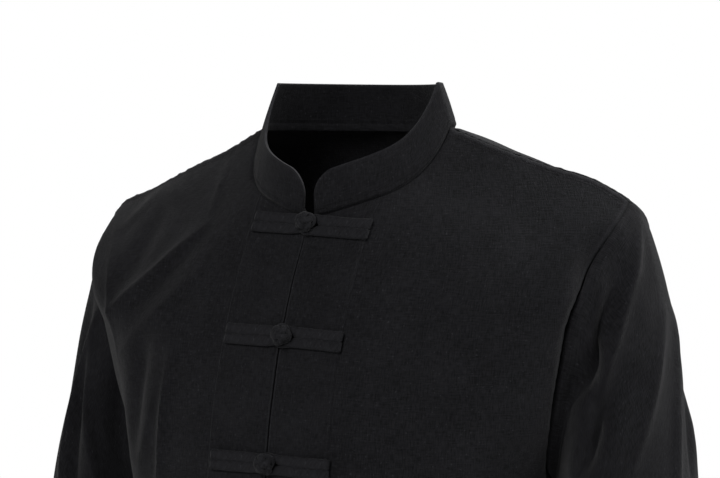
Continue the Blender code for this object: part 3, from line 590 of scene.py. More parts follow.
# %% The fronts and the back
TIP_ROW, UNDERARM_ROW = YOKE_ROWS, YOKE_ROWS + ARMHOLE_STEPS


def panel_half(side, is_front, start, wide, near, lift, seed):
    """Points, normals, rub, t and distances of one half panel."""
    t, turns, reach = half_panel(side, is_front, start, wide, near)
    base, normal = body_surface(turns, t), body_normal(turns, t)
    distance, along = from_line(base, base[:, -1])
    run = run_of(base[:, -1])
    tip, under = run[TIP_ROW], run[UNDERARM_ROW]
    hole = smooth(tip - 0.004, tip + 0.006, along) * (1 - smooth(under - 0.010, under + 0.004, along))
    plain_dip = -0.0011 * bell(distance, 0.0012)
    height = 0.5 * sewn_edge(distance, ALLOWANCE, lift) * (1 - hole) + plain_dip * hole
    height = height + pucker(along, distance, seed)
    height -= sunk(side, is_front, along - tip, under - tip) * hole * bell(distance, 0.009)
    to_hem = T_HEM - t
    height -= 0.0010 * bell(t, 0.0015) + 0.0003 * bell(to_hem - HEM_TURN + STITCH_IN, 0.0009)
    height += 0.0004 * (1 - smooth(HEM_TURN - 0.002, HEM_TURN + 0.002, to_hem)) + pucker(reach, to_hem, seed + 1)
    rub = bell(distance - 0.0025, 0.0015) + 0.7 * bell(to_hem, 0.0025)
    level = np.linalg.norm(np.diff(base[..., :2], axis=1), axis=-1)
    level = side * (start + np.concatenate([np.zeros((len(t), 1)), np.cumsum(level, axis=1)], axis=1))
    return {"points": base + normal * height[..., None], "normal": normal, "rub": np.clip(rub, 0, 1),
            "t": t, "across": level, "down": -base[..., 2], "distance": distance, "hole": hole}


GRID_KEYS = ("points", "across", "down", "normal", "rub")
panels, cut_area, halves = {}, {}, {}
for side, name in ((1, "front_left"), (-1, "front_right")):
    half = halves[side, True] = panel_half(side, True, FRONT_GAP / 2, 84, FRONT_NEAR, 0.0004, 20 + side)
    panels[name] = grid_to_piece(name + "_panel", *(half[key] for key in GRID_KEYS))
    cut_area[name] = one_layer(half["points"]), float(np.ptp(half["across"])), T_HEM
    print(name, "one layer:", [round(v, 4) for v in cut_area[name]], "faces:", len(panels[name].data.polygons))

for side in (1, -1):
    halves[side, False] = panel_half(side, False, 0.0, 56, 18, 0.0002, 30 + side)
whole = {key: np.concatenate([halves[-1, False][key][:, ::-1], halves[1, False][key][:, 1:]], axis=1)
         for key in halves[1, False]}
panels["back"] = grid_to_piece("back_panel", *(whole[key] for key in GRID_KEYS))
cut_area["back"] = one_layer(whole["points"]), float(np.ptp(whole["across"])), T_HEM
print("back one layer:", [round(v, 4) for v in cut_area["back"]], "faces:", len(panels["back"].data.polygons))

# %% [markdown]
# The hem is the panel's own edge turned up inside and stitched. From outside only the stitches and
# a slight thickness show, but from below there is a second layer, so each panel gets a strip of it.

# %% The turned hems
def body_strip(name, turns, rows, height):
    """A strip of cloth that follows the body's rings between rows, at a height off its surface."""
    t = np.broadcast_to(rows[:, None], turns.shape)
    base, normal = body_surface(turns, t), body_normal(turns, t)
    return grid_to_piece(name, base + normal * height, turns * 0.2, t, normal, thickness=STRIP_CLOTH,
                         bevel=STRIP_BEVEL)


hem_rows = np.linspace(T_HEM - HEM_TURN, T_HEM - 0.0004, 8)
strips = {}
for name, start, end in (("front_left", 0.010, np.pi / 2 - 0.01), ("front_right", -0.010, -np.pi / 2 + 0.01),
                         ("back", np.pi / 2 + 0.01, 3 * np.pi / 2 - 0.01)):
    line = np.linspace(start, end, 90)
    line = np.where(line > np.pi, line - 2 * np.pi, line)
    strips[name] = body_strip(f"hem_{name}", np.broadcast_to(line, (8, 90)), hem_rows, -CLOTH - 0.0002)
print("hem strips:", 3)

# %% [markdown]
# Sleeves. The sleeve starts on the armhole's own seam line, so that no gap can open, crosses its
# flat strip, bends over in a cap, and goes on in rings round the arm. Each side of the cap leaves
# the seam in its own direction: outwards over the top, nearly straight down under the arm.

# %% The sleeve's form
# name, x, y, z, half width, half depth
LEFT_ARM = (
    ("biceps", 0.2390, 0.016, -0.310, 0.0490, 0.0790),
    ("above elbow", 0.2500, 0.022, -0.370, 0.0485, 0.0740),
    ("elbow", 0.2600, 0.024, -0.430, 0.0480, 0.0690),
    ("forearm", 0.2680, 0.002, -0.540, 0.0450, 0.0600),
    ("cuff", 0.2720, -0.034, -0.660, 0.0420, 0.0520),
)
RIGHT_ARM = (
    ("biceps", -0.2455, 0.018, -0.310, 0.0470, 0.0780),
    ("above elbow", -0.2600, 0.024, -0.370, 0.0480, 0.0740),
    ("elbow", -0.2720, 0.026, -0.430, 0.0480, 0.0690),
    ("forearm", -0.2800, 0.002, -0.540, 0.0450, 0.0600),
    ("cuff", -0.2800, -0.036, -0.660, 0.0420, 0.0520),
)
CAP_TOP = {1: (0.42, 0.00, -0.91), -1: (0.58, 0.00, -0.81)}
CAP_FRONT = (0.50, -0.15, -0.85)
CAP_BACK = (0.80, 0.30, -0.52)
CAP_UNDER = (0.22, 0.00, -0.97)
CAP_PULL = 0.27
SLEEVE_COLUMNS = 160
STRIP_ROWS = 12
CAP_STEPS = np.concatenate([np.linspace(0, 0.07, 9)[:-1], np.linspace(0.07, 1, 50)])[:-1]
ARM_ROWS = 118
GIRTH_RADIUS = 0.066
WRAP = [*range(SLEEVE_COLUMNS), 0]
SMOOTH_PASSES, SMOOTH_END = 10, 34


def sleeve_strip(side, shares):
    """The sleeve's first rows, which lie on the body, from the armhole seam to the sleeve's start."""
    parts = []
    for is_front, keep in ((True, slice(None)), (False, slice(-2, 0, -1))):
        seam = armhole_line(ARMHOLE_SEAMS, side, is_front, SLEEVE_COLUMNS // 2)
        start = armhole_line(SLEEVE_STARTS, side, is_front, SLEEVE_COLUMNS // 2)
        share = shares[:, None]
        t, reach = (a + (b - a) * share for a, b in zip(seam[:2], start[:2]))
        turns = turn_at(side, is_front, t, reach)
        deep = sunk(side, is_front, seam[2], seam[2][-1]) * (1 - 0.5 * share)
        out = 0.0018 * smooth(0.2, 0.7, seam[2] / seam[2][-1]) * share
        parts.append((body_surface(turns, t) + body_normal(turns, t) * (out - deep)[..., None])[:, keep])
    return np.concatenate(parts, axis=1)


def sleeve_form(side, arm):
    """The sleeve before its folds: rows from the armhole to the cuff, columns round the arm."""
    strip = sleeve_strip(side, np.linspace(0, 1, STRIP_ROWS + 1))
    loop = strip[-1]
    values = np.array([row[1:] for row in arm])
    knots = run_of(values[:, :3])
    rows = spline(knots, values, np.linspace(0, knots[-1], ARM_ROWS))
    centre = rows[:, :3]
    along = unit(np.gradient(centre, axis=0))
    turns = np.linspace(0, 2 * np.pi, SLEEVE_COLUMNS, endpoint=False)
    out_axis = unit(np.array([side, 0, 0]) - along * (along[:, :1] * side))
    front_axis = unit(np.cross(along, out_axis))
    front_axis *= np.sign(-front_axis[:, 1:2])
    rings = (centre[:, None] + out_axis[:, None] * (rows[:, None, 3:4] * np.cos(turns)[None, :, None])
             + front_axis[:, None] * (rows[:, None, 4:5] * np.sin(turns)[None, :, None]))
    top, under = np.clip(np.cos(turns), 0, 1) ** 2, np.clip(-np.cos(turns), 0, 1) ** 2
    fore, aft = np.clip(np.sin(turns), 0, 1) ** 2, np.clip(-np.sin(turns), 0, 1) ** 2
    leave = (top[:, None] * CAP_TOP[side] + under[:, None] * CAP_UNDER + fore[:, None] * CAP_FRONT
             + aft[:, None] * CAP_BACK)
    leave = unit(leave * np.array([side, 1, 1]))
    chord = np.linalg.norm(rings[0] - loop, axis=1, keepdims=True)
    first = loop + leave * chord * CAP_PULL
    last = rings[0] - along[0] * chord * CAP_PULL
    u = CAP_STEPS[:, None, None]
    cap = (1 - u) ** 3 * loop + 3 * u * (1 - u) ** 2 * first + 3 * u**2 * (1 - u) * last + u**3 * rings[0]
    form = np.vstack([strip[:-1], cap, rings])
    for _ in range(SMOOTH_PASSES):
        form[1:SMOOTH_END] = (form[:SMOOTH_END - 1] + 2 * form[1:SMOOTH_END] + form[2:SMOOTH_END + 1]) / 4
    return form, turns


def ring_normals(grid):
    """Outward normals of a grid whose columns close into a ring."""
    across = np.roll(grid, -1, axis=1) - np.roll(grid, 1, axis=1)
    normal = unit(np.cross(across, np.gradient(grid, axis=0)))
    flip = np.sign((normal * (grid - grid.mean(axis=1, keepdims=True))).sum((0, 1)).sum())
    return normal * flip


print("sleeve rows:", STRIP_ROWS + len(CAP_STEPS) + ARM_ROWS)

# %% [markdown]
# The folds of a sleeve are strokes too, on the sleeve laid flat: the turn about the arm in degrees
# (0 outside, 90 front, 180 against the body, 270 back) and the height. The left sleeve has a ridge
# down from the shoulder tip and a deep valley beside the armhole; the right one has a gutter that
# splits its outline in two. Both break at the elbow.

# %% The sleeves
# name, turn and z of the stroke's start, turn and z of its end, bow, width, height, sharpness
LEFT_SLEEVE_FOLDS = (
    ("outer slack", -38, -0.068, -44, -0.235, 0.003, 0.022, -0.0050, 2.0),
    ("tip ridge", 0, -0.064, 66, -0.198, 0.001, 0.0050, 0.0085, 1.3),
    ("front valley", 24, -0.104, 125, -0.216, 0.011, 0.0075, -0.0145, 1.8),
    ("front shade", 52, -0.115, 100, -0.260, 0.002, 0.016, -0.0080, 2.0),
    ("inner ridge", 58, -0.134, 80, -0.180, 0.001, 0.010, 0.0018, 1.8),
    ("outer ridge", -4, -0.132, 52, -0.272, 0.002, 0.0065, 0.0060, 1.4),
    ("front hollow", 34, -0.176, 114, -0.272, 0.003, 0.014, -0.0115, 2.0),
    ("rim ridge", -20, -0.138, 18, -0.320, 0.001, 0.0055, 0.0050, 1.5),
    ("rim gutter", -30, -0.170, -12, -0.330, 0.001, 0.0055, -0.0035, 1.8),
    ("outline fold", -14, -0.128, -44, -0.330, 0.001, 0.009, 0.0034, 1.8),
    ("elbow front fold", 70, -0.400, 150, -0.445, 0.004, 0.010, -0.0070, 1.7),
    ("elbow upper roll", 60, -0.370, 150, -0.410, 0.004, 0.012, 0.0050, 1.7),
    ("elbow lower roll", 50, -0.440, 140, -0.480, 0.004, 0.012, 0.0045, 1.7),
    ("back ridge", 300, -0.160, 250, -0.380, -0.006, 0.013, 0.0050, 1.8),
    ("back hollow", 275, -0.150, 225, -0.330, -0.006, 0.013, -0.0040, 2.0),
    ("forearm fold", 20, -0.470, 95, -0.590, 0.004, 0.013, 0.0045, 1.8),
    ("forearm hollow", -20, -0.500, 60, -0.620, 0.004, 0.013, -0.0035, 2.0),
    ("inner fold", 200, -0.400, 160, -0.600, 0.004, 0.014, 0.0040, 1.8),
)
RIGHT_SLEEVE_FOLDS = (
    ("front lobe", 48, -0.150, 132, -0.335, 0.002, 0.0080, 0.0080, 1.4),
    ("outer gutter", 30, -0.130, 44, -0.350, 0.003, 0.014, -0.0140, 1.8),
    ("outer lobe", -8, -0.200, 12, -0.420, 0.003, 0.014, 0.0060, 1.8),
    ("outer edge", 50, -0.150, 88, -0.340, 0.001, 0.0060, 0.0062, 1.4),
    ("front dip", 62, -0.180, 106, -0.340, 0.002, 0.008, -0.0080, 1.8),
    ("front hollow", 92, -0.140, 146, -0.310, 0.003, 0.013, -0.0110, 2.0),
    ("elbow front fold", 65, -0.405, 145, -0.450, 0.004, 0.010, -0.0070, 1.7),
    ("elbow upper roll", 55, -0.375, 145, -0.415, 0.004, 0.012, 0.0045, 1.7),
    ("back ridge", 300, -0.150, 250, -0.370, -0.006, 0.013, 0.0050, 1.8),
    ("back hollow", 330, -0.180, 285, -0.380, -0.006, 0.013, -0.0040, 2.0),
    ("forearm fold", 25, -0.480, 100, -0.600, 0.004, 0.013, 0.0045, 1.8),
    ("forearm hollow", -15, -0.490, 65, -0.630, 0.004, 0.013, -0.0035, 2.0),
    ("inner fold", 205, -0.410, 165, -0.610, 0.004, 0.014, 0.0040, 1.8),
)
CUFF_TURN = 0.024
CUFF_STITCH = 0.0025
FELL = 0.0125


def sleeve(name, side, arm, folds, seed):
    """One sleeve from its form, its folds, its seam edge and its stitched cuff."""
    form, turns = sleeve_form(side, arm)
    normal = ring_normals(form)
    degrees = np.degrees(turns)
    rows = [(np.radians(turn0) * GIRTH_RADIUS, z0, np.radians(turn1) * GIRTH_RADIUS, *rest)
            for _, turn0, z0, turn1, *rest in folds]
    height = np.zeros(form.shape[:2])
    for around in (-360, 0, 360):
        height += creases(rows, np.radians(degrees + around)[None, :] * GIRTH_RADIUS, form[..., 2])
    ring = np.stack([np.cos(turns), np.sin(turns)], -1) * GIRTH_RADIUS
    height += slack(ring[None, :, 0] + form[..., 2] * 0.3, form[..., 2] + ring[None, :, 1], seed)
    from_seam = np.concatenate([np.zeros((1, SLEEVE_COLUMNS)),
                                np.cumsum(np.linalg.norm(np.diff(form, axis=0), axis=-1), axis=0)])
    to_cuff = from_seam[-1] - from_seam
    height *= smooth(0.004, 0.016, from_seam)
    height += sewn_edge(from_seam, FELL, 0.0006) + pucker(turns[None] * 0.07, from_seam, seed + 1, 0.00014, 0.008)
    height += 0.0004 * (1 - smooth(CUFF_TURN - 0.001, CUFF_TURN + 0.001, to_cuff))
    height -= 0.0003 * bell(to_cuff - CUFF_TURN + CUFF_STITCH, 0.0009)
    height += pucker(turns[None] * 0.046, to_cuff - CUFF_TURN + CUFF_STITCH, seed + 2, 0.0003, 0.008)
    points = form + normal * height[..., None]
    normal = ring_normals(points)
    points[0] += unit(points[1] - points[0]) * SEAM_GAP / 2
    rub = 0.8 * bell(to_cuff, 0.0025) + 0.4 * bell(from_seam - 0.003, 0.002)
    across = np.broadcast_to(np.linspace(0, 2 * np.pi, SLEEVE_COLUMNS + 1) * GIRTH_RADIUS,
                             (len(points), SLEEVE_COLUMNS + 1))
    piece = grid_to_piece(name + "_panel", points[:, WRAP], across, from_seam[:, WRAP], normal[:, WRAP],
                          rub[:, WRAP], closed=True)
    cut_area[name] = one_layer(points[:, WRAP]), 2 * np.pi * GIRTH_RADIUS, float(from_seam.max())
    print(name, "one layer:", [round(v, 4) for v in cut_area[name]], "faces:", len(piece.data.polygons))
    return piece, points, normal, to_cuff


sleeve_grids = {}
for side, name, arm, folds in ((1, "sleeve_left", LEFT_ARM, LEFT_SLEEVE_FOLDS),
                               (-1, "sleeve_right", RIGHT_ARM, RIGHT_SLEEVE_FOLDS)):
    panels[name], *sleeve_grids[side] = sleeve(name, side, arm, folds, 40 + side)

# %% [markdown]
# The cuff is turned in like the hem, so the sleeve's last rows get a second layer inside.

# %% The turned cuffs
for side, name in ((1, "cuff_turn_left"), (-1, "cuff_turn_right")):
    points, normal, to_cuff = sleeve_grids[side]
    keep = to_cuff.mean(axis=1) < CUFF_TURN
    keep[-1] = False
    inner = (points - normal * (CLOTH + 0.0002))[keep][:, WRAP]
    across = np.broadcast_to(np.linspace(0, 0.29, SLEEVE_COLUMNS + 1), inner.shape[:2])
    strips[name.replace("cuff_turn", "sleeve")] = grid_to_piece(
        name, inner, across, to_cuff[keep][:, WRAP], normal[keep][:, WRAP], closed=True,
        thickness=STRIP_CLOTH, bevel=STRIP_BEVEL)
print("panels with strips inside:", list(strips))

# %% [markdown]
# The stand collar is a double strip, stiffer and thicker than the body. It rises from the neck
# seam, leans in at the sides and back, and its two front ends are rounded off and stand a finger
# apart above the first knot. A row of stitches runs close above the seam.

# %% The collar
COLLAR_CLOTH = 0.0022
COLLAR_HEIGHT = 0.0355
COLLAR_CORNER = 0.0175
COLLAR_FRONT_GAP = 0.0045
COLLAR_LEAN_SIDE = 0.012
COLLAR_LEAN_BACK = 0.006
COLLAR_STITCH = 0.0055
COLLAR_LIFT = np.array([0, 0, 0.0003])


def neck_turns():
    """Turns round the neck from the left front end by the back to the right, and distances from each end."""
    turns, reach = [], []
    for side in (1, -1):
        ring, lengths = RINGS[side, True][0], RINGS[side, True][1][0]
        corner = COLLAR_CORNER * (1 - np.cos(np.linspace(0, np.pi / 2, 13)))
        plain = np.linspace(COLLAR_CORNER, lengths[-1] - COLLAR_FRONT_GAP, 34)[1:]
        along = np.concatenate([corner, plain])
        back, back_lengths = RINGS[side, False][0], RINGS[side, False][1][0]
        rest = np.linspace(back_lengths[-1], 0, 44)[1:]
        turns.append(np.concatenate([np.interp(along + COLLAR_FRONT_GAP, lengths, ring),
                                     np.interp(rest, back_lengths, back)]))
        reach.append(np.concatenate([along, along[-1] + back_lengths[-1] - rest]))
    total = reach[0][-1] + reach[1][-1]
    return (np.concatenate([turns[0], turns[1][-2::-1]]), np.concatenate([reach[0], total - reach[1][-2::-1]]), total)


COLLAR_TURNS, COLLAR_REACH, COLLAR_LENGTH = neck_turns()
from_end = np.minimum(COLLAR_REACH, COLLAR_LENGTH - COLLAR_REACH)
round_off = np.clip(1 - from_end / COLLAR_CORNER, 0, 1)
COLLAR_TALL = COLLAR_HEIGHT - COLLAR_CORNER * (1 - np.sqrt(1 - round_off**2))


def collar_surface(turns, share, tall):
    """Points of the collar's outer face at a share of its height."""
    base = body_surface(turns, np.zeros(np.shape(turns)))
    inward = unit(-base * np.array([1, 1, 0]))
    lean = COLLAR_LEAN_SIDE * np.abs(np.sin(turns)) ** 1.5 + COLLAR_LEAN_BACK * np.clip(-np.cos(turns), 0, 1) ** 2
    rise = np.asarray(share * tall)
    curve = rise / COLLAR_HEIGHT
    belly = 0.0007 * np.sin(np.pi * np.clip(curve, 0, 1)) - 0.0006 * (1 - smooth(-0.05, 0.02, curve))
    return base + np.array([0, 0, 1]) * rise[..., None] + inward * (lean * curve - belly)[..., None]


share = np.concatenate([np.linspace(-0.08, 0, 4)[:-1], np.linspace(0, 0.28, 14)[:-1],
                        np.linspace(0.28, 0.9, 12)[:-1], np.linspace(0.9, 1, 5)])[::-1]
turn_grid, share_grid = np.meshgrid(COLLAR_TURNS, share)
tall_grid = np.broadcast_to(COLLAR_TALL, turn_grid.shape)
points = collar_surface(turn_grid, share_grid, tall_grid)
side_step, up_step = (collar_surface(turn_grid + a, share_grid + b, tall_grid)
                      - collar_surface(turn_grid - a, share_grid - b, tall_grid)
                      for a, b in ((1e-3, 0), (0, 1e-3)))
normal = unit(np.cross(side_step, up_step))
normal *= np.sign((normal * points).sum(-1, keepdims=True))
rise = share_grid * tall_grid
height = -0.0010 * bell(np.clip(rise, 0, 1), 0.0013) + 0.0004 * smooth(0.0005, 0.002, rise)
height = height - 0.00032 * bell(rise - COLLAR_STITCH, 0.0007)
height = height + pucker(COLLAR_REACH[None], rise - COLLAR_STITCH, 51, 0.00022, 0.006)
rub = bell(tall_grid - rise, 0.0018)
panels["collar"] = grid_to_piece(
    "collar_stand", points + normal * height[..., None] + COLLAR_LIFT,
    np.broadcast_to(COLLAR_REACH, rise.shape), rise, normal, rub, thickness=COLLAR_CLOTH, bevel=0.0006)
cut_area["collar"] = one_layer(points), COLLAR_LENGTH, COLLAR_HEIGHT
print("collar one layer:", [round(v, 4) for v in cut_area["collar"]])

# %% [markdown]
# Down each front edge lies a band of the same cloth, folded under at both sides and stitched with
# several rows. Its outer edge is a soft fold that throws a small shadow. The rows of stitches draw
# the cloth into fine upright streaks, which is what catches the light there.

# %% The placket bands and the underlap
BAND_WIDTH = 0.054
BAND_FLARE = 0.009
BAND_LIFT = 0.0008
BAND_FACE = 0.0021
BAND_SEEDS = {1: 61, -1: 71}
BAND_STITCHES = (0.0022, 0.0085, 0.0455, 0.0510)
BAND_T = np.concatenate([np.linspace(0.0013, 0.012, 10)[:-1], np.linspace(0.012, T_HEM - 0.0003, 290)])


def band_height(distance, t, seed):
    """The height of a band's face over the front at a distance from the centre edge."""
    outer = BAND_WIDTH - distance
    edge = BAND_LIFT * smooth(-0.0002, 0.0005, distance) * smooth(-0.0004, 0.0011, outer)
    fold = 0.0002 * bell(outer - 0.0020, 0.0013) - 0.0007 * bell(outer, 0.0008)
    rows = sum(bell(distance - at, 0.0006) for at in BAND_STITCHES)
    rng = np.random.default_rng(seed)
    streaks = 0
    for _ in range(9):
        wave = rng.uniform(0.0035, 0.010)
        drift = rng.uniform(-0.02, 0.02)
        streaks = streaks + np.sin(2 * np.pi * ((distance + drift * t) / wave + rng.uniform())
                                   + 1.5 * np.sin(2 * np.pi * t / rng.uniform(0.05, 0.12)))
    return edge + fold - 0.00022 * rows + 0.00003 * streaks


def flared(distance, t):
    """A distance across the band, stretched near its outer edge where the band widens to the neck."""
    return distance + BAND_FLARE * np.exp(-t / 0.022) * smooth(0.030, BAND_WIDTH, distance)


def band(name, side):
    """One placket band, laid on its front."""
    seed = BAND_SEEDS[side]
    flat = np.concatenate([np.linspace(FRONT_GAP / 2, 0.0035, 9)[:-1], np.linspace(0.0035, 0.050, 36)[:-1],
                           np.linspace(0.050, BAND_WIDTH, 9)])
    distance, t = np.broadcast_arrays(flat[None], BAND_T[:, None])
    turns = turn_at(side, True, t, flared(distance, t))
    base, normal = body_surface(turns, t), body_normal(turns, t)
    height = 0.0002 + band_height(distance, t, seed) + sum(
        pucker(t, distance - at, seed + k, 0.00008, 0.004) for k, at in enumerate(BAND_STITCHES))
    points = base + normal * height[..., None]
    rub = 0.2 * bell(distance - BAND_WIDTH + 0.002, 0.0014) + 0.7 * bell(distance - 0.0010, 0.0007)
    panels[name] = grid_to_piece(name + "_strip", points, side * distance, t, normal, np.clip(rub, 0, 1),
                                 thickness=0.0007)
    cut_area[name] = one_layer(points), BAND_WIDTH, T_HEM


band("band_left", 1)
band("band_right", -1)
line = np.linspace(-0.11, 0.11, 14)
rows = np.linspace(0.004, T_HEM - 0.001, 110)
panels["underlap"] = body_strip("underlap_strip", np.broadcast_to(line, (len(rows), len(line))), rows,
                                -CLOTH - 0.0006)
print("bands one layer:", [round(v, 4) for v in cut_area["band_left"]])

# %% [markdown]
# The closures. Each is sewn from a thin tube of the same cloth: on the wearer's left it comes in,
# runs round the knot and goes back out, and on the right two lengths lie side by side behind the
# knot. The tube is pressed a little flat where it is stitched down. We sweep a rounded, flattened
# cross-section along a path drawn in the front view, with every point lifted off the bands.

# %% Flat cords on the bands
FROG_COUNT = 7
FROG_SPACING = 0.0965
FIRST_FROG_DROP = 0.0110
FROG_SHIFT = 0.003
STRAP_LENGTH = 0.053
CORD_WIDE = 0.0081
CORD_THICK = 0.0022
CORD_APART = CORD_WIDE / 2 - 0.0002
LOOP_RADIUS = 0.0068
LOOP_THICK = 0.0036
FROG_RAISE = (0.0044, 0.0047, 0.0008, 0.0020, 0.0010, 0.0025, 0.0015)
LOOP_CORD = 0.0042
KNOT_RADIUS = 0.0064


def front_place(x, z):
    """The turn and t of the place on the front that shows at x and z from straight ahead."""
    x, z = np.broadcast_arrays(np.asarray(x, float), np.asarray(z, float))
    phi, t = x / 0.2, np.interp(-z, -BODY_VALUES[:, 6], BODY_KNOTS)
    small = 1e-4
    for _ in range(10):
        here = body_surface(phi, t)
        by_phi = (body_surface(phi + small, t) - here) / small
        by_t = (body_surface(phi, t + small) - here) / small
        wrong_x, wrong_z = here[..., 0] - x, here[..., 2] - z
        size = by_phi[..., 0] * by_t[..., 2] - by_t[..., 0] * by_phi[..., 2]
        phi = phi - (wrong_x * by_t[..., 2] - wrong_z * by_t[..., 0]) / size
        t = np.clip(t - (wrong_z * by_phi[..., 0] - wrong_x * by_phi[..., 2]) / size, 0.0005, T_HEM)
    return phi, t


def over_band(x, z, height):
    """Points over the bands at x and z of the front view, height above the bands' face."""
    phi, t = front_place(x, z)
    return body_surface(phi, t) + body_normal(phi, t) * (BAND_FACE + np.asarray(height))[..., None]


def cord(name, path, wide, thick, count, seed):
    """A flattened tube along a path of the front view, closed with rounded ends."""
    values = np.column_stack([path, wide, thick])
    knots = run_of(path)
    at = np.linspace(0, knots[-1], count)
    line = spline(knots, values, at)
    along = unit(np.gradient(line[:, :2], axis=0))
    aside = np.stack([along[:, 1], -along[:, 0]], -1)
    around = np.linspace(0, 2 * np.pi, 19)
    out = np.sign(np.cos(around)) * np.abs(np.cos(around)) ** 0.7
    up = np.sign(np.sin(around)) * np.abs(np.sin(around)) ** 0.6
    rng = np.random.default_rng(seed)
    wobble = sum(np.sin(at / rng.uniform(0.0025, 0.008) + rng.uniform(0, 6)) for _ in range(4)) * 0.00010
    close = np.sqrt(np.clip(1 - np.clip(1 - np.minimum(at, at[-1] - at) / 0.0009, 0, 1) ** 2, 0.0025, 1))
    width = (line[:, 2] + wobble) * (0.75 + 0.25 * close)
    place = line[:, None, :2] + aside[:, None] * (out[None, :, None] * width[:, None, None] / 2)
    height = (line[:, 3] / 2 * close)[:, None] * up[None, :] + (line[:, 3] / 2)[:, None]
    points = over_band(place[..., 0], place[..., 1], height)
    across = np.broadcast_to(around * CORD_WIDE / 2.6, height.shape)
    down = np.broadcast_to(at[:, None], height.shape)
    outward = unit(points - points[:, :-1].mean(axis=1, keepdims=True))
    rub = np.broadcast_to(np.clip(np.sin(around), 0, 1) ** 2, height.shape) * 0.5
    piece = grid_to_piece(name, points, across, down, outward, rub, closed=True, thickness=0)
    mesh = bmesh.new()
    mesh.from_mesh(piece.data)
    bmesh.ops.holes_fill(mesh, edges=[edge for edge in mesh.edges if edge.is_boundary], sides=0)
    mesh.to_mesh(piece.data)
    mesh.free()
    piece.data.shade_smooth()
    piece.data.set_sharp_from_angle(angle=np.radians(60))
    return piece


def frog_heights():
    """The z of each closure, spaced along the cloth of the front edge."""
    t = np.linspace(0, T_HEM, 400)
    line = body_form(np.zeros(len(t)), t)
    lengths = run_of(line)
    drops = FIRST_FROG_DROP + FROG_SPACING * np.arange(FROG_COUNT) - np.array(FROG_RAISE)
    return np.interp(drops, lengths, line[:, 2])


def loop_path(tilt):
    """The left cord's path about the knot's centre: in above, round the knot, and out below."""
    straight = np.array([STRAP_LENGTH, 0.042, 0.032, 0.022, 0.0120])
    turn = np.radians(np.linspace(70, 290, 11))
    ring = LOOP_RADIUS * np.stack([np.cos(turn), np.sin(turn)], -1)
    upper = np.stack([straight, np.full(5, CORD_APART)], -1)
    path = np.vstack([upper, ring, upper[::-1] * (1, -1)])
    wide, thick = (np.concatenate([np.full(5, flat), np.full(11, bent), np.full(5, flat)])
                   for flat, bent in ((CORD_WIDE, LOOP_CORD), (CORD_THICK, LOOP_THICK)))
    path[:, 1] += tilt * np.clip(path[:, 0], 0, None)
    return path, wide, thick


FROG_TILTS = ((-0.055, 0.030), (-0.035, 0.020), (-0.030, 0.015), (-0.020, 0.020), (-0.030, 0.010),
              (-0.015, 0.015), (-0.025, 0.020))
for number, (z, (left_tilt, right_tilt)) in enumerate(zip(frog_heights(), FROG_TILTS), 1):
    path, wide, thick = loop_path(left_tilt)
    loop = cord(f"frog_{number}_loop_cord", path + (FROG_SHIFT, z), wide, thick, 86, 100 + number)
    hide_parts(f"frog_{number}_loop")
    for part, sign in (("upper", 1), ("lower", -1)):
        across = FROG_SHIFT - np.linspace(0.0045, STRAP_LENGTH, 6)
        rise = z + sign * CORD_APART - right_tilt * (across - FROG_SHIFT) * 0.6
        rise = rise - sign * 0.0012 * (across > FROG_SHIFT - 0.01)
        cord(f"frog_{number}_tail_{part}", np.stack([across, rise], -1), np.full(6, CORD_WIDE),
                          np.full(6, CORD_THICK), 30, 120 + 2 * number + sign)
    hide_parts(f"frog_{number}_tails")
print("closures:", FROG_COUNT)

# %% [markdown]
# The knot is a ball button, one cord plaited over and under itself. A curve that winds three times
# round a ball while it swings four times between its poles, and lifts and dips at every crossing,
# is that plait. A flattened tube swept along it, over a small core that closes the middle, gives
# the strands that show in the photograph.

# %% The ball knots
KNOT_STRAND = (0.0027, 0.0019)


def knot_curve(count):
    """The plait's path on a ball of radius one, with the lift of each point."""
    s = np.linspace(0, 2 * np.pi, count)
    polar = np.radians(64 + 44 * np.cos(4 * s))
    turn = 3 * s
    lift = 0.135 * np.sin(8 * s)
    way = np.stack([np.sin(polar) * np.cos(turn), np.sin(polar) * np.sin(turn), np.cos(polar)], -1)
    return way, lift


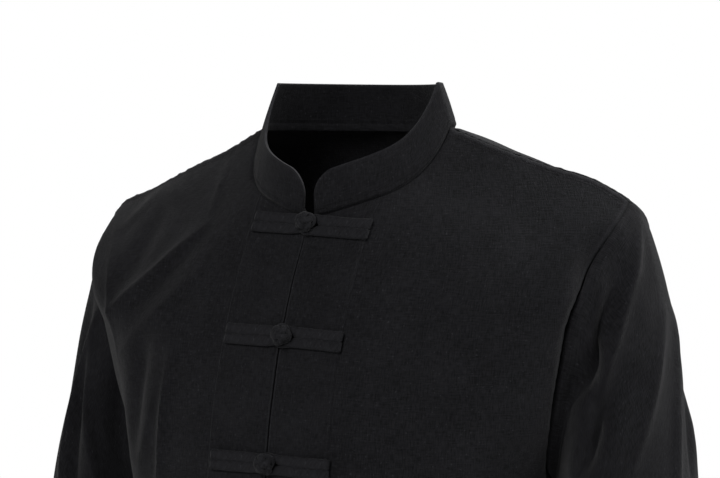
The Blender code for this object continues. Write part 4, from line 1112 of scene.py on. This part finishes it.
def knot(name, z, spin):
    """One ball knot standing in its loop."""
    phi, t = front_place(FROG_SHIFT, z)
    normal = body_normal(phi, t)
    centre = body_surface(phi, t) + normal * (BAND_FACE + KNOT_RADIUS + 0.0002)
    way, lift = knot_curve(181)
    path = way * (KNOT_RADIUS * (1 + lift))[:, None]
    along = unit(np.roll(path[:-1], -1, axis=0) - np.roll(path[:-1], 1, axis=0))
    along = np.vstack([along, along[:1]])
    aside = unit(np.cross(along, way))
    around = np.linspace(0, 2 * np.pi, 13)
    half_wide, half_thick = KNOT_STRAND
    ring = (aside[:, None] * (half_wide * np.cos(around))[None, :, None]
            + np.cross(aside, along)[:, None] * (half_thick * np.sin(around))[None, :, None])
    points = path[:, None] + ring
    outward = unit(ring)
    frame_turn = (Matrix.Translation(Vector(centre)) @ Vector(normal).to_track_quat("Z", "Y").to_matrix().to_4x4()
                  @ Matrix.Rotation(spin, 4, "Z") @ Matrix.Diagonal((1, 1, 0.92, 1)))
    matrix = np.array(frame_turn)
    points = points @ matrix[:3, :3].T + matrix[:3, 3]
    outward = outward @ matrix[:3, :3].T
    reach = run_of(path)
    across = np.broadcast_to(around * 0.0023, points.shape[:2])
    down = np.broadcast_to(reach[:, None], points.shape[:2])
    rub = np.broadcast_to(0.5 + 0.5 * np.sin(around), points.shape[:2]) * 0.6
    strand = grid_to_piece(name + "_strand", points, across, down, outward, rub, closed=True, thickness=0)
    core_mesh = bmesh.new()
    bmesh.ops.create_icosphere(core_mesh, subdivisions=3, radius=KNOT_RADIUS * 0.93, matrix=frame_turn, calc_uvs=True)
    bmesh.ops.smooth_vert(core_mesh, verts=core_mesh.verts, factor=0.2)
    core_mesh.loops.layers.uv.verify()
    settle(add_mesh(name + "_core", core_mesh))
    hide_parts(name)


for number, z in enumerate(frog_heights(), 1):
    knot(f"frog_{number}_knot", z, 0.5 + 0.9 * number)
print("knots:", FROG_COUNT)

# %% [markdown]
# Stitches. From a step away a row of stitches is a faint dotted line, but it says how the jacket is
# made. One stitch is a small stretched ball of a few dozen faces, and a row is that ball set down
# again and again along a line on the cloth, half sunk into its groove.

# %% One stitch, and rows of it
STITCH_PITCH = 0.0031
STITCH_LENGTH = 0.0024


def one_stitch():
    """A stretched ball: a stitch between two needle holes."""
    mesh = bmesh.new()
    bmesh.ops.create_icosphere(mesh, subdivisions=1, radius=0.5)
    bmesh.ops.scale(mesh, vec=(STITCH_LENGTH, 0.00050, 0.00042), verts=mesh.verts)
    data = bpy.data.meshes.new("one stitch")
    mesh.to_mesh(data)
    mesh.free()
    return data


STITCH = one_stitch()


def sew(name, lines):
    """A piece with a stitch at every pitch along each line of points and normals."""
    def read(at, lengths, rows):
        return np.stack([np.interp(at, lengths, column) for column in rows.T], -1)

    mesh = bmesh.new()
    count = 0
    for points, normal in lines:
        lengths = run_of(points)
        at = np.arange(STITCH_PITCH / 2, lengths[-1], STITCH_PITCH)
        place, lift = read(at, lengths, points), unit(read(at, lengths, normal))
        along = unit(read(np.minimum(at + 0.001, lengths[-1]), lengths, points) - place)
        aside = unit(np.cross(lift, along))
        for p, a, b, c in zip(place, along, aside, np.cross(along, aside)):
            turn = Matrix((a, b, c)).transposed().to_4x4()
            stitch = STITCH.copy()
            stitch.transform(Matrix.Translation(Vector(p)) @ turn)
            mesh.from_mesh(stitch)
            bpy.data.meshes.remove(stitch)
            count += 1
    settle(add_mesh(name, mesh))
    print(name, "stitches:", count)


# %% [markdown]
# The rows themselves: four on each band, one beside the armholes, shoulders and sides on the
# fronts, one above the collar seam, and one each round hem and cuffs.

# %% Where the stitches run
def body_line(turns, t, height):
    """A line on the body at a height off its surface."""
    normal = body_normal(turns, t)
    return body_surface(turns, t) + normal * np.asarray(height)[..., None], normal


def seam_line(half):
    """The lines on a half panel where the allowance of its outer seam is stitched down."""
    points, normal = [], []
    rows = zip(*(half[key][:, ::-1] for key in ("points", "normal", "distance", "hole", "t")))
    for place, way, far, hole, t in rows:
        if 0.004 < t[0] < T_HEM - 0.002 and hole[0] < 0.5:
            at = np.interp(ALLOWANCE - STITCH_IN, far[:FRONT_NEAR], np.arange(FRONT_NEAR))
            low, part = int(at), at - int(at)
            points.append((1 - part) * place[low] + part * place[low + 1])
            normal.append(way[low])
    points, normal = np.array(points), np.array(normal)
    cut = int(np.linalg.norm(np.diff(points, axis=0), axis=1).argmax()) + 1
    return [(points[part] + normal[part] * 0.00005, normal[part]) for part in (slice(cut), slice(cut, None))]


for side, name in ((1, "left"), (-1, "right")):
    rows = np.linspace(0.0025, T_HEM - 0.001, 260)
    lines = []
    for at in BAND_STITCHES:
        distance = np.full(len(rows), at)
        turns = turn_at(side, True, rows, flared(distance, rows))
        lines.append(body_line(turns, rows, 0.0002 + band_height(distance, rows, BAND_SEEDS[side]) + 0.00005))
    sew(f"stitches_band_{name}", lines)
    sew(f"stitches_seams_{name}", seam_line(halves[side, True]))
    points, normal, to_cuff = sleeve_grids[side]
    row = int(np.abs(to_cuff.mean(axis=1) - CUFF_TURN + CUFF_STITCH).argmin())
    felled = np.abs(to_cuff[0] - to_cuff - FELL + STITCH_IN).argmin(axis=0)[WRAP]
    sew(f"stitches_armhole_{name}", [(points[felled, WRAP], normal[felled, WRAP])])
    sew(f"stitches_cuff_{name}", [(points[row][WRAP] + normal[row][WRAP] * 0.0001, normal[row][WRAP])])

hem_turns = np.linspace(-np.pi + 0.001, np.pi - 0.001, 400)
hem_line = body_line(hem_turns, np.full_like(hem_turns, T_HEM - HEM_TURN + STITCH_IN),
                     np.full_like(hem_turns, 0.0003))
sew("stitches_hem", [hem_line])
tall = np.full(len(COLLAR_TURNS), COLLAR_STITCH)
collar_line = collar_surface(COLLAR_TURNS, np.ones(len(tall)), tall) + COLLAR_LIFT
collar_normal = unit(collar_line * np.array([1, 1, 0]))
sew("stitches_collar", [(collar_line + collar_normal * 0.00035, collar_normal)])

# %% [markdown]
# Materials. The shader below is written as sums on sockets: a Wire stands for one output of a node,
# and adding or multiplying two Wires adds the Math node that does it.

# %% A small language for shader maths
class Wire:
    """One output socket, with the sums that shader maths needs."""

    def __init__(self, bench, socket):
        self.bench, self.socket = bench, socket

    def math(self, operation, *others):
        return self.bench.node("ShaderNodeMath", {"operation": operation}, {0: self, **dict(enumerate(others, 1))})

    def held(self):
        """Kept between 0 and 1."""
        return self.math("MAXIMUM", 0.0).math("MINIMUM", 1.0)

    def __add__(self, other):
        return self.math("ADD", other)

    def __sub__(self, other):
        return self.math("SUBTRACT", other)

    def __rsub__(self, other):
        return self.bench.node("ShaderNodeMath", {"operation": "SUBTRACT"}, {0: other, 1: self})

    def __mul__(self, other):
        return self.math("MULTIPLY", other)

    __radd__ = __add__
    __rmul__ = __mul__


class Bench:
    """A material that is being built."""

    def __init__(self, name):
        self.material = bpy.data.materials.new(name)
        self.material.use_nodes = True
        self.tree = self.material.node_tree
        self.shader = self.tree.nodes["Principled BSDF"]

    def node(self, kind, settings=None, inputs=None, output=0):
        """Adds a node: its settings first, then the values or Wires of its sockets."""
        node = self.tree.nodes.new(kind)
        for name, value in (settings or {}).items():
            setattr(node, name, value)
        for name, value in (inputs or {}).items():
            self.feed(node.inputs[name], value)
        return Wire(self, node.outputs[output])

    def feed(self, socket, value):
        if isinstance(value, Wire):
            self.tree.links.new(value.socket, socket)
        else:
            socket.default_value = value

    def finish(self, **inputs):
        for name, value in inputs.items():
            self.feed(self.shader.inputs[name.replace("_", " ")], value)
        return self.material


print("shader tools ready")

# %% [markdown]
# The cloth is a plain weave of black cotton, dyed after weaving, with threads that swell here and
# there into slubs. Seen close it is a basket of fine ribs; seen from a step away it is nearly black
# with short, faint upright and level dashes. So the material has two scales: a weave that goes into
# the bump, and stretched noise along both threads that goes into colour, roughness and bump. The
# surface is matt, with a little sheen from loose fibres, and worn a shade lighter where it stands
# proud. The cords use the same cloth cut on the bias, so their threads run at a slant.

# %% The black cotton
THREADS_PER_METRE = 1750.0
DYE = (0.0040, 0.0040, 0.0046, 1)
DYE_WORN = (0.026, 0.026, 0.0295, 1)


def cotton(name, slant=0.0, depth=0.00030, slub=1.0):
    """Black plain weave. slant turns the threads in the cloth's own plane."""
    b = Bench(name)
    uv = b.node("ShaderNodeUVMap", {"uv_map": "cloth"})
    turned = b.node("ShaderNodeMapping", {}, {"Vector": uv, "Rotation": (0, 0, slant)})
    split = b.node("ShaderNodeSeparateXYZ", {}, {0: turned})
    u, v = split, Wire(b, split.socket.node.outputs[1])

    def noise(vector, scale, detail, **more):
        return b.node("ShaderNodeTexNoise", {"noise_dimensions": "2D"},
                      {"Vector": vector, "Scale": scale, "Detail": detail, **more})

    wander = noise(turned, 90.0, 2.0)
    warp = (u * THREADS_PER_METRE + wander * 2.2).math("PINGPONG", 1.0)
    weft = (v * THREADS_PER_METRE + wander * 2.2).math("PINGPONG", 1.0)
    checker = b.node("ShaderNodeTexChecker", {}, {"Vector": turned, "Scale": THREADS_PER_METRE}, output=1)
    ribs = warp * checker + weft * (1.0 - checker)

    def slubs(scale_u, scale_v):
        stretched = b.node("ShaderNodeMapping", {}, {"Vector": turned, "Scale": (scale_u, scale_v, 1)})
        return noise(stretched, 1.0, 3.0, Roughness=0.6)

    upright, level = slubs(1000.0, 150.0), slubs(130.0, 950.0)
    thick = ((upright - 0.5) + (level - 0.5) * 0.8) * slub
    cloudy, lint = noise(turned, 26.0, 4.0), noise(turned, 420.0, 1.0)
    specks = ((lint - 0.735) * 14.0).held()

    rub = b.node("ShaderNodeAttribute", {"attribute_name": "rub"}, {}, output=2)
    pale = (thick * 0.65 + (cloudy - 0.5) * 0.25 + rub * 0.22 + ribs * 0.10 + specks * 0.55 + 0.12).held()
    colour = b.node("ShaderNodeMix", {"data_type": "RGBA"}, {0: pale, 6: DYE, 7: DYE_WORN}, output=2)
    rough = (0.90 - thick * 0.10 - rub * 0.05).math("MINIMUM", 1.0)
    relief = ribs * 0.55 + thick * 1.5
    bump = b.node("ShaderNodeBump", {}, {"Strength": 0.75, "Distance": depth, "Height": relief})
    return b.finish(Base_Color=colour, Roughness=rough, Normal=bump, Sheen_Weight=0.06,
                    Sheen_Roughness=0.35, Specular_IOR_Level=0.08)


BODY_COTTON = cotton("black cotton")
BIAS_COTTON = cotton("black cotton on the bias", slant=np.radians(45), depth=0.00026)
STIFF_COTTON = cotton("black cotton, stiffened", depth=0.00028, slub=0.9)
print("threads in a centimetre:", THREADS_PER_METRE / 100)

# %% [markdown]
# The sewing thread is black too, but smoother and twisted, so it catches a little more light than
# the cloth. The floor is a plain pale matt surface with a hint of unevenness.

# %% Thread and floor
def thread():
    b = Bench("black sewing thread")
    place = b.node("ShaderNodeTexCoord", output=3)
    twist = b.node("ShaderNodeTexWave", {"bands_direction": "DIAGONAL"},
                   {"Vector": place, "Scale": 900.0, "Distortion": 1.0})
    tone = b.node("ShaderNodeTexNoise", {}, {"Vector": place, "Scale": 140.0})
    shade = b.node("ShaderNodeMix", {"data_type": "RGBA"},
                   {0: tone, 6: (0.004, 0.004, 0.005, 1), 7: (0.010, 0.010, 0.011, 1)}, output=2)
    bump = b.node("ShaderNodeBump", {}, {"Strength": 0.4, "Distance": 0.0001, "Height": twist})
    return b.finish(Base_Color=shade, Roughness=0.62 + tone * 0.1, Normal=bump, Specular_IOR_Level=0.10)


def pale_floor():
    b = Bench("pale floor")
    place = b.node("ShaderNodeTexCoord", output=3)
    tone = b.node("ShaderNodeTexNoise", {}, {"Vector": place, "Scale": 3.0, "Detail": 3.0})
    shade = b.node("ShaderNodeMix", {"data_type": "RGBA"},
                   {0: tone, 6: (0.78, 0.78, 0.77, 1), 7: (0.82, 0.82, 0.81, 1)}, output=2)
    return b.finish(Base_Color=shade, Roughness=0.85 + tone * 0.05)


THREAD = thread()
floor.data.materials.append(pale_floor())

# %% [markdown]
# Each piece now gets its finish by what it is: stitches are thread, cords and knots are cut on the
# bias, collar and bands are stiffened, and the rest is the body cloth.

# %% Dressing the pieces
FINISH = (("stitches", THREAD), ("frog", BIAS_COTTON), ("collar", STIFF_COTTON), ("band", STIFF_COTTON),
          ("", BODY_COTTON))
for piece in [o for o in scene.objects if o.type == "MESH" and o is not floor and "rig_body" in o]:
    if piece.name in frame["nodes"]:
        continue
    piece.data.materials.clear()
    piece.data.materials.append(next(look for start, look in FINISH if piece.name.startswith(start)))

for node, panel in panels.items():
    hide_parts(node)

# %% [markdown]
# Every panel is a sheet of cloth, cut flat to a size. The table lists that size and the cut area,
# and they are printed beside the area of the piece that was made. The fronts and the back are cut
# straight at the centre and shaped at neck, shoulder and armhole, the sleeve is a cap on a tapered
# length, and collar and bands are strips.

# %% The cut of each panel
CUT = {
    "front_left": ((0.275, 0.762), 0.178),
    "front_right": ((0.275, 0.762), 0.178),
    "back": ((0.500, 0.762), 0.340),
    "sleeve_left": ((0.430, 0.620), 0.215),
    "sleeve_right": ((0.430, 0.620), 0.215),
    "collar": ((0.465, 0.0355), 0.0158),
    "band_left": ((0.054, 0.760), 0.041),
    "band_right": ((0.054, 0.760), 0.041),
    "underlap": ((0.044, 0.757), 0.033),
}
for node, (flat, area) in CUT.items():
    "stretched" if node == "collar" else "hung"
    [strips[node]] if node in strips else []
    measured = cut_area.get(node)
    print(node, "cut:", flat, area, "made:", None if measured is None else [round(v, 4) for v in measured])
